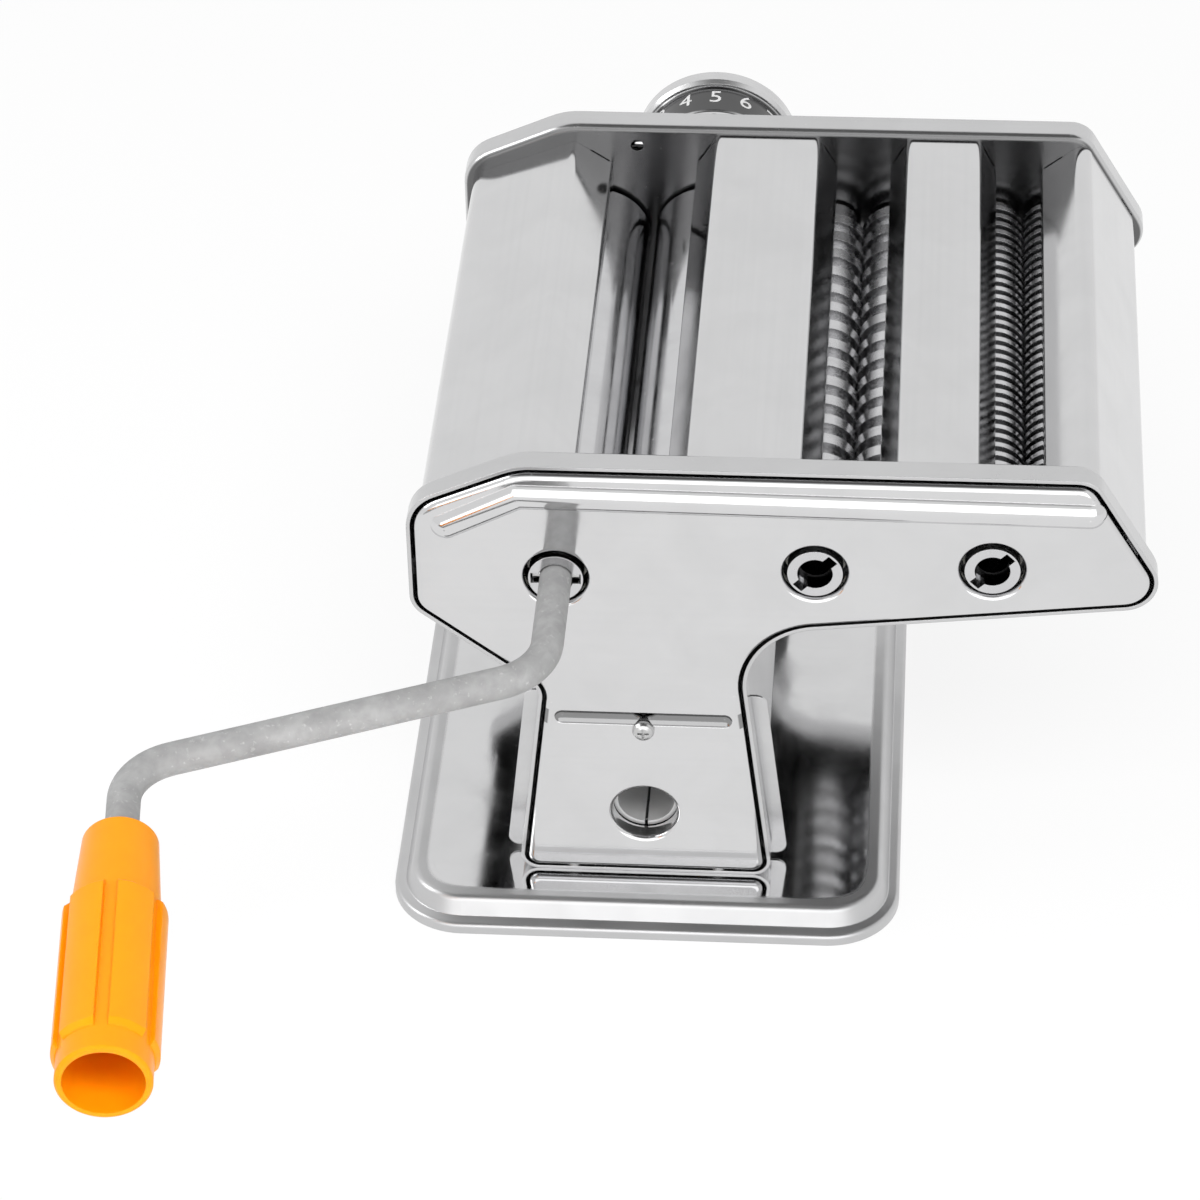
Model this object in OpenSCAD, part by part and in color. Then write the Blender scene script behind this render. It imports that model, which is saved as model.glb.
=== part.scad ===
// Hand-cranked pasta roller machine: two smooth rollers set by a thickness dial,
// a wide and a narrow cutter, two side frames on a pressed base, and a plug-in crank.
// X runs across the machine, from the smooth rollers to the narrow cutter.
// Y runs along the rollers, with the crank on the -Y side and the dial on the +Y side.
// Z is up. The origin lies on the table, midway between the side frames, under the leg.

/* [Overall] */
// Clear width between the two side frames
throat_w = 156; // [124:1:190]
// Height of the drive roller's axis above the table
axis_h = 111.5; // [100:0.5:140]

/* [Base] */
// Width of the base across the rollers
base_w = 140; // [110:1:180]
// How far the base reaches past each side frame
base_reach = 18; // [12:1:40]
// Height of the base floor
base_h = 9; // [7:0.5:14]
// Corner radius of the base at the table
base_r = 20; // [18:1:32]
// Sheet thickness of the base
base_t = 0.8; // [0.6:0.1:1.2]
// Radius of a rubber foot
foot_r = 7; // [5:0.5:9]

/* [Side frames] */
// Depth of a side frame's rim
rim_d = 8; // [8:0.5:12]
// Sheet thickness of a side frame
frame_t = 1; // [0.8:0.1:1.5]
// Outer radius of the bend between wall and rim
frame_bend = 2.2; // [1.8:0.1:3]
// Half width of the leg at the base
leg_half = 35; // [30:1:42]
// Inward lean of the leg's sides, in mm for each mm of height
leg_lean = 0.112; // [0.08:0.002:0.13]
// Room between the drive roller and the frame's left edge
left_room = 23.75; // [20:0.25:32]
// Height of the frame above the drive roller
hopper_h = 20.25; // [17:0.25:28]
// How far the frame reaches past the narrow cutter
right_reach = 23.4; // [20:0.2:32]

/* [Outer covers] */
// Sheet thickness of the outer covers
cover_t = 0.8; // [0.6:0.1:1]
// Gap between an outer cover and the rim around it
cover_gap = 0.9; // [0.6:0.1:2]
// How far an outer cover stands proud of the rim
cover_proud = 1.2; // [0:0.1:2]
// Bend radius of an outer cover's edge
cover_bend = 2; // [1.5:0.1:2.6]
// Radius of the holes around the crank sockets
socket_hole_r = 8.4; // [8.2:0.1:10]
// Height of the long bead above the cover
bead_h = 1.8; // [0.6:0.1:2.2]

/* [Top covers] */
// Sheet thickness of the folded top covers
top_t = 0.8; // [0.6:0.1:1]
// Depth of the flat tops below the top of the side frames
top_drop = 2.4; // [1.5:0.1:4]
// Height of the hoppers' slanted walls
slant_h = 9.3; // [7:0.1:12]
// Width of a cover's tab in its slot
tab_w = 6; // [4:0.5:8]

/* [Smooth rollers] */
// Place of the drive roller across the machine
drive_x = -22.5; // [-30:0.5:-16]
// Diameter of both smooth rollers
roller_d = 30.5; // [25:0.1:37]
// Gap between the smooth rollers at the dial's middle setting
roll_gap = 1.5; // [1.35:0.05:2.5]
// Throw of the eccentric shaft
throw = 1.25; // [0.8:0.05:1.3]
// Travel of the dial to each side of its middle, in degrees
dial_travel = 96; // [60:1:96]

/* [Cutters] */
// Outer diameter of the wide cutter's lands
wide_d = 19.6; // [18:0.1:24]
// Pitch of the wide cutter's lands
wide_pitch = 8.9; // [7:0.1:11]
// Depth to which the wide cutter's lands pass each other
wide_bite = 1.6; // [1:0.1:2]
// Outer diameter of the narrow cutter's lands
narrow_d = 17.8; // [17:0.1:22]
// Pitch of the narrow cutter's lands
narrow_pitch = 4.1; // [3:0.1:5]
// Depth to which the narrow cutter's lands pass each other
narrow_bite = 1.3; // [0.8:0.1:1.6]
// Clear distance between the adjustable roller and the wide cutter
wide_room = 10.95; // [10:0.05:14]
// Clear distance between the wide and the narrow cutter
narrow_room = 9.4; // [9:0.1:13]
// Height of the wide cutter above the drive roller's axis
wide_rise = 4; // [0:0.5:5]
// Height of the narrow cutter above the drive roller's axis
narrow_rise = 6.5; // [0:0.5:7]

/* [Shafts and gears] */
// Radius of the socketed shafts that take the crank
socket_shaft_r = 7.25; // [6.9:0.05:7.4]
// Radius of the plain journals
journal_r = 4.5; // [3.5:0.1:5]
// Teeth on every gear
teeth = 12; // [12:2:14]
// Face width of the gears
gear_w = 3.5; // [3:0.1:3.7]

/* [Dial] */
// Radius of the dial's number band
band_r = 21.8; // [20:0.1:24]
// Length of the number band
band_len = 12.5; // [8:0.5:15]
// How far the dial's rim stands out from the number band
rim_out = 2.2; // [1.6:0.1:4]
// Thickness of the dial's rim
dial_rim_t = 7; // [5:0.5:9]
// Distance from the side frame's rim to the number band
dial_out = 24; // [20:0.5:32]
// Travel of the dial when it is pulled out
dial_pull = 4; // [2:0.5:5]

/* [Crank] */
// Radius of the crank's rod
rod_r = 4.25; // [3.5:0.05:4.6]
// Distance from the front cover to the crank's first bend
crank_out = 39.3; // [32:0.1:55]
// Length of the crank's arm
crank_arm = 110; // [85:1:132]
// Outward lean of the crank's arm, in degrees
arm_lean = 23; // [0:1:30]
// Lean of the grip's axis towards the machine, in degrees
grip_lean = 6; // [0:1:10]
// Length of the grip
grip_len = 84; // [70:1:102]
// Radius of the grip at its open end
grip_r = 11.5; // [10.5:0.1:13]
// Radius of the grip over its ribs
grip_rib_r = 12.8; // [12:0.1:15]
// Number of ribs on the grip
grip_ribs = 6; // [4:1:10]

/* [Fits] */
// Radial clearance of a running fit
run_fit = 0.05; // [0.02:0.01:0.1]
// Clearance around a tab in its slot
slot_fit = 0.2; // [0.1:0.05:0.4]
// Clearance between the lands of a cutter and the grooves that they enter
land_fit = 0.2; // [0.12:0.02:0.3]
// Clearance between a moving surface and what stands beside it
side_fit = 0.3; // [0.2:0.05:0.5]

/* [Hidden] */
$fn = 64;

// Colours
steel = [0.82, 0.83, 0.84];
dark_steel = [0.55, 0.56, 0.58];
brass = [0.80, 0.66, 0.35];
orange = [1.0, 0.60, 0.08];
rubber = [0.10, 0.10, 0.11];
nylon = [0.92, 0.92, 0.88];

// Overlap of neighbouring stretches of a sweep, and the step between them
lap = 0.02;
seam = 0.004;
$grow = 0;

// Places of the shafts, as [x, z]
roller_r = roller_d / 2;
roller_c = roller_d + roll_gap;
drive = [drive_x, axis_h];
dial = [drive_x + roller_c, axis_h];
adj = dial + [0, throw];
// Turn of the drive roller's mesh, half way between its places at the dial's middle and ends
mesh_lean = asin(throw / 2 / roller_c);
wide_r = wide_d / 2;
wide_c = wide_d - wide_bite;
wide_a = [adj.x + roller_r + wide_room + wide_r, axis_h + wide_rise];
wide_b = wide_a + [wide_c, 0];
narrow_r = narrow_d / 2;
narrow_c = narrow_d - narrow_bite;
narrow_a = [wide_b.x + wide_r + narrow_room + narrow_r, axis_h + narrow_rise];
narrow_b = narrow_a + [narrow_c, 0];

// Levels along Y, all measured outwards from the middle of the machine
wall_y = throat_w / 2;
wall_out = wall_y + frame_t;
rim_y = wall_y + rim_d;
face_y = rim_y + cover_proud;
roller_end = wall_y - 1.2;
rivet_y = (wall_out + rim_y) / 2 + 0.4;
gear_y = wall_out + 1.2;
gear_end = gear_y + gear_w;

// Outline of a side frame, as [x, z], and its corner radii
top_z = axis_h + roller_r + hopper_h;
knee_z = axis_h - 38.5;
neck_z = axis_h - 18;
left_x = drive_x - roller_r - left_room;
right_top_x = narrow_b.x + narrow_r;
left_top_x = left_x + 29.2;
left_top_z = top_z - 13.2;
frame_pts = [
    [-leg_half, base_h],
    [leg_half, base_h],
    [leg_side(neck_z), neck_z],
    [right_top_x + right_reach, axis_h - 4.4],
    [right_top_x, top_z],
    [left_top_x, top_z],
    [left_x, left_top_z],
    [left_x, axis_h - 11.5],
    [-leg_side(knee_z), knee_z]
];
frame_rad = [5, 5, 20, 9, 8, 20, 12, 8, 6];

// Outer covers
cover_inset = frame_t + cover_gap;
cover_pts = inset_pts(frame_pts, cover_inset);
cover_rad = inset_rad(frame_pts, frame_rad, cover_inset);
cover_rim = 6;
roll_r = 1.6;
bead_pts = [frame_pts[6] + [10.5, -6], frame_pts[5] + [0.4, -9], frame_pts[4] + [-1, -10.4]];
bead_r = 5;
groove_z = axis_h - 47;
groove_r = 3;
groove_half = leg_side(groove_z) - 7;
cover_screw_z = groove_z - 3.6;
clamp_z = base_h + 22;
clamp_r = 7.7;
clamp_wall = 1.3;
clamp_len = 40;
clamp_in = 6;
clamp_hole_r = clamp_r + 1.2;
clamp_neck = 3.6;

// Folded top covers: paths of the sheet's middle, as [x, z], with their bend radii
flat_z = top_z - top_drop;
slant_z = flat_z - slant_h;
low_z = axis_h + roller_r + 2.2;
slant_run = 5.8;
nip_x = (drive.x + adj.x) / 2;
knee_drop = 5.5;
left_knee = [left_x + 32.5, top_z - knee_drop];
left_wall_x = nip_x - 12;
right_wall_x = nip_x + 13;
wide_nip = (wide_a.x + wide_b.x) / 2;
narrow_nip = (narrow_a.x + narrow_b.x) / 2;
wide_wall = [wide_nip - 8.5, wide_nip + 7.5];
narrow_wall = [narrow_nip - 8.6, narrow_nip + 5];
chamfer = unit(frame_pts[3] - frame_pts[4]);
right_knee = [right_top_x - 0.5, top_z - 2.2];
right_low = right_knee + chamfer * 29;
wide_low = max(wide_a.y + wide_r, low_z - 2.2) + 1.4;
narrow_low = narrow_a.y + narrow_r + 1.6;
left_path = [[left_x + 3, axis_h - 8], [left_x + 3, left_top_z - 4.3], left_knee,
    [left_wall_x, slant_z - 0.8], [left_wall_x, low_z]];
left_bends = [0, 5, 2, 1.2, 0];
wide_path = [[right_wall_x, low_z], [right_wall_x, slant_z], [right_wall_x + slant_run, flat_z],
    [wide_wall[0] - slant_run + 0.3, flat_z], [wide_wall[0], slant_z], [wide_wall[0], wide_low]];
narrow_path = [[wide_wall[1], wide_low], [wide_wall[1], slant_z], [wide_wall[1] + slant_run - 1, flat_z],
    [narrow_wall[0] - slant_run + 1, flat_z], [narrow_wall[0], slant_z], [narrow_wall[0], narrow_low]];
flat_bends = [0, 1.2, 1.6, 1.6, 1.2, 0];
right_path = [[narrow_wall[1], narrow_low], [narrow_wall[1], slant_z], right_knee, right_low,
    right_low - [0, 9]];
right_bends = [0, 1.2, 3, 3, 0];
slants = [[left_path[3], left_path[2]], [wide_path[1], wide_path[2]], [wide_path[4], wide_path[3]],
    [narrow_path[1], narrow_path[2]], [narrow_path[4], narrow_path[3]],
    [right_path[1], right_path[2]], [left_path[0], left_path[1]], [right_path[3], right_path[2]]];
tab_out = 2;

// Rods between the side frames
rod_places = [[left_x + 13.5, axis_h + 6.5], [right_wall_x + 23.5, slant_z - 2],
    [wide_wall[1] + 14, slant_z - 2], right_knee + chamfer * 19 - [5, 2]];
tie_r = 3;
stud_r = 2;
nut_t = 3.2;
nut_r = 4.04;

// Cutters
wide_groove_r = wide_c - wide_r - side_fit;
narrow_groove_r = narrow_c - narrow_r - side_fit;
comb_gap = 0.3;

// Sockets, bushes and the adjustable roller's bearings
socket_end = face_y;
socket_depth = 24;
socket_mouth = 5;
key_w = 3.2;
key_r = 6.6;
bush_wall = 0.95;
bush_lip = 0.8;
ecc_r = 8;
sleeve_wall = 1.95;
sleeve_in = 17;
neck_r = 11.5;
neck_hole_r = neck_r + throw + 1.5;
bore_r = 11.5;
sleeve_r = ecc_r + run_fit + sleeve_wall;

// Dial and its housing
housing_r = band_r;
spigot_r = band_r - 3.2;
housing_plate_r = housing_r + 2.2;
dial_r = band_r + rim_out;
housing_y = gear_end + 0.6;
post_r = 2.2;
post_at = housing_r - 0.3;
dial_journal_r = 7;
dial_shaft_r = 5;
band_y = rim_y + dial_out;
housing_end = band_y + 1;
web_y = band_y + 3;
web_t = 3;
spring_room_r = 9.2;
rim_start = band_y + band_len;
dial_end = rim_start + dial_rim_t;
washer_y = dial_end - 3.5;
washer_t = 1.2;
wire_r = 0.65;
coil_r = 7;
coils = 3;
pin_at = 13;
settings = 9;

// Crank and grip
arm_dir = [-cos(arm_lean), -sin(arm_lean)];
grip_dir = [sin(grip_lean), -cos(grip_lean)];
bend_1 = [drive.x, -face_y - crank_out];
bend_2 = bend_1 + arm_dir * crank_arm;
grip_start = 28;
rod_in_grip = 42;
rib_share = 0.74;
rod_start = -(socket_end - socket_depth + 2);
rod_end = bend_2 + grip_dir * (grip_start + rod_in_grip);
crank_pin_r = 1.4;
crank_pin_y = -(socket_end - 2.6);

function unit(v) = v / norm(v);
function left_of(v) = [-v.y, v.x];
function leg_side(z) = leg_half - leg_lean * (z - base_h);
function item(list, i) = list[(i + len(list)) % len(list)];
function dir_in(pts, i) = unit(pts[i] - item(pts, i - 1));
function dir_out(pts, i) = unit(item(pts, i + 1) - pts[i]);
// Signed turn of the path at a corner, positive to the left
function turn(pts, i) = atan2(cross(dir_in(pts, i), dir_out(pts, i)), dir_in(pts, i) * dir_out(pts, i));
// Length that a corner's arc takes from each of its two edges
function trim(pts, rad, i) = rad[i] * tan(abs(turn(pts, i)) / 2);
function open_trim(pts, rad, i) = i == 0 || i == len(pts) - 1 ? 0 : trim(pts, rad, i);
// A closed outline moved inwards by d, and its corner radii
function inset_pts(pts, d) = [for (i = [0 : len(pts) - 1])
    let (n1 = left_of(dir_in(pts, i)), n2 = left_of(dir_out(pts, i)))
    pts[i] + (n1 + n2) * d / (1 + n1 * n2)];
function inset_rad(pts, rad, d) = [for (i = [0 : len(pts) - 1])
    turn(pts, i) > 0 ? rad[i] - d : rad[i] + d];
function arc_centre(pts, rad, i) = let (d = dir_in(pts, i), side = turn(pts, i) > 0 ? 1 : -1)
    pts[i] - d * trim(pts, rad, i) + left_of(d) * rad[i] * side;

// A closed outline with true arcs at its corners. The arcs are a hair too large, so that they
// cross the straight edges instead of just touching them.
module rounded(pts, rad) {
    last = len(pts) - 1;
    difference() {
        union() {
            polygon([for (i = [0 : last]) each (rad[i] > 0
                ? [pts[i] - dir_in(pts, i) * trim(pts, rad, i),
                   pts[i] + dir_out(pts, i) * trim(pts, rad, i)]
                : [pts[i]])]);
            for (i = [0 : last])
                if (rad[i] > 0 && turn(pts, i) > 0)
                    translate(arc_centre(pts, rad, i)) circle(r = rad[i] + seam);
        }
        for (i = [0 : last])
            if (rad[i] > 0 && turn(pts, i) < 0)
                translate(arc_centre(pts, rad, i)) circle(r = rad[i] + seam);
    }
}

// One straight stretch of a sweep. It runs a little way into the bends at its ends.
module straight(a, b, cut_a, cut_b) {
    $grow = 0;
    d = unit(b - a);
    translate(b - d * (cut_b - lap))
        rotate(atan2(d.y, d.x))
            rotate([90, 0, -90])
                linear_extrude(norm(b - a) - cut_a - cut_b + 2 * lap)
                    children();
}

// One bend of a sweep. Its profile is a hair larger, so that the joints are plain steps.
module bend(pts, rad, i) {
    $grow = seam;
    heading = atan2(dir_in(pts, i).y, dir_in(pts, i).x);
    angle = turn(pts, i);
    translate(arc_centre(pts, rad, i))
        if (angle > 0)
            rotate(heading - 90) rotate_extrude(angle = angle) translate([rad[i], 0]) children();
        else
            rotate(heading + 90 + angle) rotate_extrude(angle = -angle)
                translate([rad[i], 0]) mirror([1, 0]) children();
}

// A profile swept round a closed outline. The profile's x points outwards, its y along Z.
module sweep_closed(pts, rad) {
    last = len(pts) - 1;
    for (i = [0 : last]) {
        next = (i + 1) % len(pts);
        straight(pts[i], pts[next], trim(pts, rad, i), trim(pts, rad, next)) children();
        bend(pts, rad, i) children();
    }
}

// A profile swept along an open path
module sweep_open(pts, rad) {
    last = len(pts) - 1;
    for (i = [0 : last - 1])
        straight(pts[i], pts[i + 1], open_trim(pts, rad, i), open_trim(pts, rad, i + 1)) children();
    for (i = [1 : last - 1])
        bend(pts, rad, i) children();
}

// What rounds off an edge of radius r: material lies at x < 0 and y > 0
module edge_cutter(r) {
    over = 1 + 50 * $grow;
    difference() {
        translate([-r, -over]) square([r + over, r + over]);
        translate([-r, r]) circle(r = r + 7 * seam - 5 * $grow);
    }
}

// A flat slab with one rounded edge, from z = 0 to z = h
module soft_slab(pts, rad, r, h) {
    difference() {
        linear_extrude(h) rounded(pts, rad);
        sweep_closed(pts, rad) edge_cutter(r);
    }
}

// A pressed dish, closed at z = 0 and open at z = h
module dish(pts, rad, r, t, h) {
    difference() {
        soft_slab(pts, rad, r, h);
        translate([0, 0, t]) soft_slab(inset_pts(pts, t), inset_rad(pts, rad, t), r - t, h);
    }
}

// A folded sheet's section: the path of its middle, the bends' radii and the thickness.
// The ends are closed off w to the left of the path, on the side that the sheet wraps round.
function side_point(pts, i, s, e) =
    i == 0 ? pts[0] + left_of(dir_out(pts, 0)) * s - dir_out(pts, 0) * e
    : i == len(pts) - 1 ? pts[i] + left_of(dir_in(pts, i)) * s + dir_in(pts, i) * e
    : let (n1 = left_of(dir_in(pts, i)), n2 = left_of(dir_out(pts, i)))
        pts[i] + (n1 + n2) * s / (1 + n1 * n2);
function bend_r(pts, rad, i, s) = rad[i] == 0 ? 0 : turn(pts, i) > 0 ? rad[i] - s : rad[i] + s;

module sheet_side(pts, rad, s, e, w) {
    last = len(pts) - 1;
    rounded([each [for (i = [0 : last]) side_point(pts, i, s, e)],
        side_point(pts, last, w, e), side_point(pts, 0, w, e)],
        [each [for (i = [0 : last]) bend_r(pts, rad, i, s)], 0, 0]);
}

module folded(pts, rad, t, w) {
    difference() {
        sheet_side(pts, rad, -t / 2, 0, w);
        sheet_side(pts, rad, t / 2, 1, w);
    }
}

// A strip of sheet with sharp folds
module strip(pts, t) {
    last = len(pts) - 1;
    polygon([each [for (i = [0 : last]) side_point(pts, i, -t / 2, 0)],
        each [for (i = [last : -1 : 0]) side_point(pts, i, t / 2, 0)]]);
}

// Quarter of a ring, between the directions +x and +y
module quarter_ring(r, t) {
    intersection() {
        difference() {
            circle(r = r);
            circle(r = r - t);
        }
        square(r);
    }
}

// Placements. In front() and back(), x is X, y is Z and z points outwards along Y.
module front() rotate([90, 0, 0]) children();
module back() mirror([0, 1, 0]) front() children();
// In on_axis(), z points along +Y from the shaft's middle
module on_axis(place) translate([place.x, 0, place.y]) rotate([-90, 0, 0]) children();

// A solid of revolution on a shaft's axis, from points [radius, y]
module turned(place, profile) on_axis(place) rotate_extrude($fn = 96) polygon(profile);

// A round bar along Y between two levels
module bar_y(place, r, y1, y2) on_axis(place) translate([0, 0, y1]) cylinder(r = r, h = y2 - y1);

// Base
module base_outline(inset) {
    w = base_w / 2 - inset;
    l = rim_y + base_reach - inset;
    r = base_r - inset;
    rounded([[-w, -l], [w, -l], [w, l], [-w, l]], [r, r, r, r]);
}

module base_plate() {
    w = base_w / 2;
    l = rim_y + base_reach;
    floor_in = 11;
    mid = base_t / 2;
    skirt = [[-mid, 0], [-mid, 2.7], [-3.4, 3.4], [-5.6, base_h - mid], [-floor_in, base_h - mid]];
    color(steel) difference() {
        union() {
            translate([0, 0, base_h - base_t]) linear_extrude(base_t) base_outline(floor_in - 0.5);
            sweep_closed([[-w, -l], [w, -l], [w, l], [-w, l]], [base_r, base_r, base_r, base_r])
                folded(skirt, [0, 0.9, 0.9, 1.6, 0], base_t + 2 * $grow, 0.5);
        }
        translate([0, 0, -1]) linear_extrude(1) square([2 * w + 10, 2 * l + 10], center = true);
        for (p = rivet_places())
            translate([p.x, p.y, 0]) cylinder(r = stud_r, h = 2 * base_h);
    }
}

function rivet_places() = [for (x = [-20, 20]) for (s = [-1, 1]) [x, s * rivet_y]];

module rubber_feet() {
    in = base_r + 1.5;
    color(rubber) for (x = [-1, 1]) for (y = [-1, 1])
        translate([x * (base_w / 2 - in), y * (rim_y + base_reach - in), 0])
            rotate_extrude() polygon([[0, 0], [foot_r - 1, 0], [foot_r, 1],
                [foot_r, base_h - base_t], [0, base_h - base_t]]);
}

module base_rivets() {
    up = base_h + frame_t;
    down = base_h - base_t;
    color(steel) for (p = rivet_places())
        translate([p.x, p.y, 0]) rotate_extrude()
            polygon([[0, down - 1.6], [2.4, down - 1.6], [3.6, down - 0.5], [3.6, down], [stud_r, down],
                [stud_r, up], [2.6, up], [2.6, up + 0.5], [1.8, up + 0.9], [0, up + 0.9]]);
}

// Side frames
module tab(s, grow) {
    d = unit(s[1] - s[0]);
    translate(s[0] + d * (tab_w / 2 + 1.2))
        rotate(atan2(d.y, d.x))
            square([tab_w + 2 * grow, top_t + 2 * grow], center = true);
}

module tab_slots(grow) for (s = slants) tab(s, grow);

// z = 0 is the middle of the machine, and the rim points outwards
module side_frame() {
    difference() {
        translate([0, 0, wall_y]) dish(frame_pts, frame_rad, frame_bend, frame_t, rim_d);
        translate([0, 0, wall_y - 1]) linear_extrude(frame_t + 2) {
            tab_slots(slot_fit);
            for (p = rod_places) translate(p) circle(r = stud_r);
            translate([0, cover_screw_z]) circle(r = 1.7);
            translate([nip_x + 5.4 - 10, slant_z + 5.5]) circle(r = 1.8);
            children();
        }
        for (x = [-20, 20])
            translate([x, 0, rivet_y]) rotate([-90, 0, 0]) cylinder(r = stud_r, h = 2 * base_h);
    }
}

module front_side_frame() {
    color(steel) front() side_frame() {
        for (p = [drive, wide_a, narrow_a]) translate(p) circle(r = socket_shaft_r + bush_wall);
        for (p = [dial, wide_b, narrow_b]) translate(p) circle(r = journal_r + bush_wall);
        translate([0, clamp_z]) circle(r = clamp_r + clamp_wall);
    }
}

module back_side_frame() {
    color(steel) back() side_frame() {
        for (p = [drive, wide_a, wide_b, narrow_a, narrow_b]) translate(p) circle(r = journal_r + bush_wall);
        translate(dial) circle(r = neck_hole_r);
    }
}

// Outer covers
// Round bars along a path in the cover's plane, their middle at z, each cut short at its ends
module bars(pts, r, z, short) {
    for (i = [0 : len(pts) - 2]) {
        d = unit(pts[i + 1] - pts[i]);
        from = pts[i] + d * short;
        translate([from.x, from.y, z])
            rotate([0, 0, atan2(d.y, d.x)]) rotate([0, 90, 0])
                cylinder(r = r, h = norm(pts[i + 1] - pts[i]) - 2 * short);
    }
}

module ridge(pts, r, z) {
    bars(pts, r, z, 0);
    for (p = pts) translate([p.x, p.y, z]) sphere(r = r + 0.01);
}

// Everything between two levels
module between(z1, z2) translate([-500, -500, z1]) cube([1000, 1000, z2 - z1]);

// Rolled edge of a round hole, with a short neck behind it
module rolled_edge(r, neck) {
    c = r + roll_r;
    translate([0, 0, face_y]) rotate_extrude() {
        translate([c, -roll_r]) mirror([1, 0]) quarter_ring(roll_r, cover_t);
        translate([c, -cover_t]) square([0.4, cover_t]);
        translate([r, -roll_r - neck]) square([cover_t, neck]);
    }
}

// Each hole is [place, radius, length of its neck]
module outer_cover(holes) {
    face_in = face_y - cover_t;
    bead_z = face_y + bead_h - bead_r;
    groove = [[-groove_half, groove_z], [groove_half, groove_z]];
    groove_mid = face_y + groove_r - 1;
    difference() {
        union() {
            translate([0, 0, face_y]) mirror([0, 0, 1])
                dish(cover_pts, cover_rad, cover_bend, cover_t, cover_rim);
            intersection() {
                ridge(bead_pts, bead_r, bead_z);
                between(face_in, face_y + 5);
            }
            intersection() {
                ridge(groove, groove_r + cover_t, groove_mid);
                between(face_y - 5, face_y - cover_t / 2);
            }
        }
        bars(bead_pts, bead_r - cover_t, bead_z, 1.2);
        ridge(groove, groove_r, groove_mid);
        for (h = holes)
            translate([h[0].x, h[0].y, face_y - 9]) cylinder(r = h[1] + roll_r + 0.2, h = 12);
        translate([0, cover_screw_z, face_y - 9]) cylinder(r = 1.7, h = 12);
    }
    for (h = holes) translate([h[0].x, h[0].y, 0]) rolled_edge(h[1], h[2]);
}

module front_cover() {
    color(steel) front() outer_cover([[drive, socket_hole_r, 1.6], [wide_a, socket_hole_r, 1.6],
        [narrow_a, socket_hole_r, 1.6], [[0, clamp_z], clamp_hole_r, clamp_neck]]);
}

module back_cover() {
    color(steel) back() outer_cover([[dial, housing_r + 0.6, 0.1]]);
}

module cover_screws() {
    head_r = 3;
    color(dark_steel) for (side = [0, 1]) mirror([0, side, 0]) front()
        translate([0, cover_screw_z, 0]) difference() {
            union() {
                translate([0, 0, wall_y - 8]) cylinder(r = 1.5, h = face_y - wall_y + 8);
                translate([0, 0, face_y]) rotate_extrude()
                    polygon([[0, 0], [head_r, 0], [head_r, 0.8], [head_r - 0.5, 1.6], [head_r - 1.4, 2], [0, 2]]);
            }
            for (a = [0, 90]) rotate(a) translate([-1.6, -0.3, face_y + 1]) cube([3.2, 0.6, 2]);
        }
}

// Stand
module leg_side_panels() {
    low = base_h + 1.5;
    high = knee_z - 7;
    in = 3.8;
    out = 4;
    foot = leg_side(low);
    head = leg_side(high);
    color(steel) for (side = [0, 1]) mirror([side, 0, 0]) front() {
        linear_extrude(throat_w, center = true)
            polygon([[foot - in, low], [foot - in + top_t, low], [head - in + top_t, high], [head - in, high]]);
        for (end = [-1, 1])
            translate([0, 0, end * (wall_y - top_t / 2)]) linear_extrude(top_t, center = true)
                rounded([[foot - in, low], [foot + out, low], [head + out, high], [head - in, high]],
                    [0, 3, 3, 0]);
    }
}

module dough_chute() {
    color(steel) front()
        linear_extrude(throat_w, center = true)
            strip([[leg_side(neck_z) - 2, neck_z - 2], [-22, knee_z + 2.5], [-leg_half + 3, knee_z - 4]], top_t);
}

module clamp_sleeve() {
    color(dark_steel) front() translate([0, clamp_z, face_y - clamp_in - clamp_len]) difference() {
        cylinder(r = clamp_r + clamp_wall, h = clamp_len);
        translate([0, 0, -1]) cylinder(r = clamp_r, h = clamp_len + 2);
        translate([-0.4, -clamp_r - 2, -1]) cube([0.8, 4, clamp_len + 2]);
    }
}

// Folded top covers
// The path runs from right to left over the top, and the sheet wraps round what is below it
module top_cover(path, bends, tabs) {
    count = len(path);
    rev = [for (i = [count - 1 : -1 : 0]) path[i]];
    rev_bends = [for (i = [count - 1 : -1 : 0]) bends[i]];
    front() {
        linear_extrude(throat_w, center = true) folded(rev, rev_bends, top_t, 4);
        for (end = [-1, 1])
            translate([0, 0, end * (wall_out + tab_out / 2 - 1)])
                linear_extrude(tab_out + 2, center = true)
                    for (k = tabs) tab(slants[k], -seam);
    }
}

module left_top_cover() color(steel) top_cover(left_path, left_bends, [0, 6]);
module wide_top_cover() color(steel) top_cover(wide_path, flat_bends, [1, 2]);
module narrow_top_cover() color(steel) top_cover(narrow_path, flat_bends, [3, 4]);
module right_top_cover() color(steel) top_cover(right_path, right_bends, [5, 7]);

// Rods
module tie_rods() {
    stud_end = wall_out + nut_t + 1.2;
    color(steel) for (p = rod_places)
        turned(p, [[0, -stud_end], [stud_r, -stud_end], [stud_r, -wall_y], [tie_r, -wall_y],
            [tie_r, wall_y], [stud_r, wall_y], [stud_r, stud_end], [0, stud_end]]);
}

module tie_rod_nuts() {
    color(dark_steel) for (p = rod_places) for (side = [0, 1])
        mirror([0, side, 0]) front() translate([p.x, p.y, wall_out]) difference() {
            cylinder(r = nut_r, h = nut_t, $fn = 6);
            translate([0, 0, -1]) cylinder(r = stud_r, h = nut_t + 2);
        }
}

module leg_tie_rod() {
    color(steel) difference() {
        bar_y([0, cover_screw_z], 4, -wall_y, wall_y);
        for (side = [-1, 1])
            bar_y([0, cover_screw_z], 1.5, side * (wall_y - 5) - 5.2, side * (wall_y - 5) + 5.2);
    }
}

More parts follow.
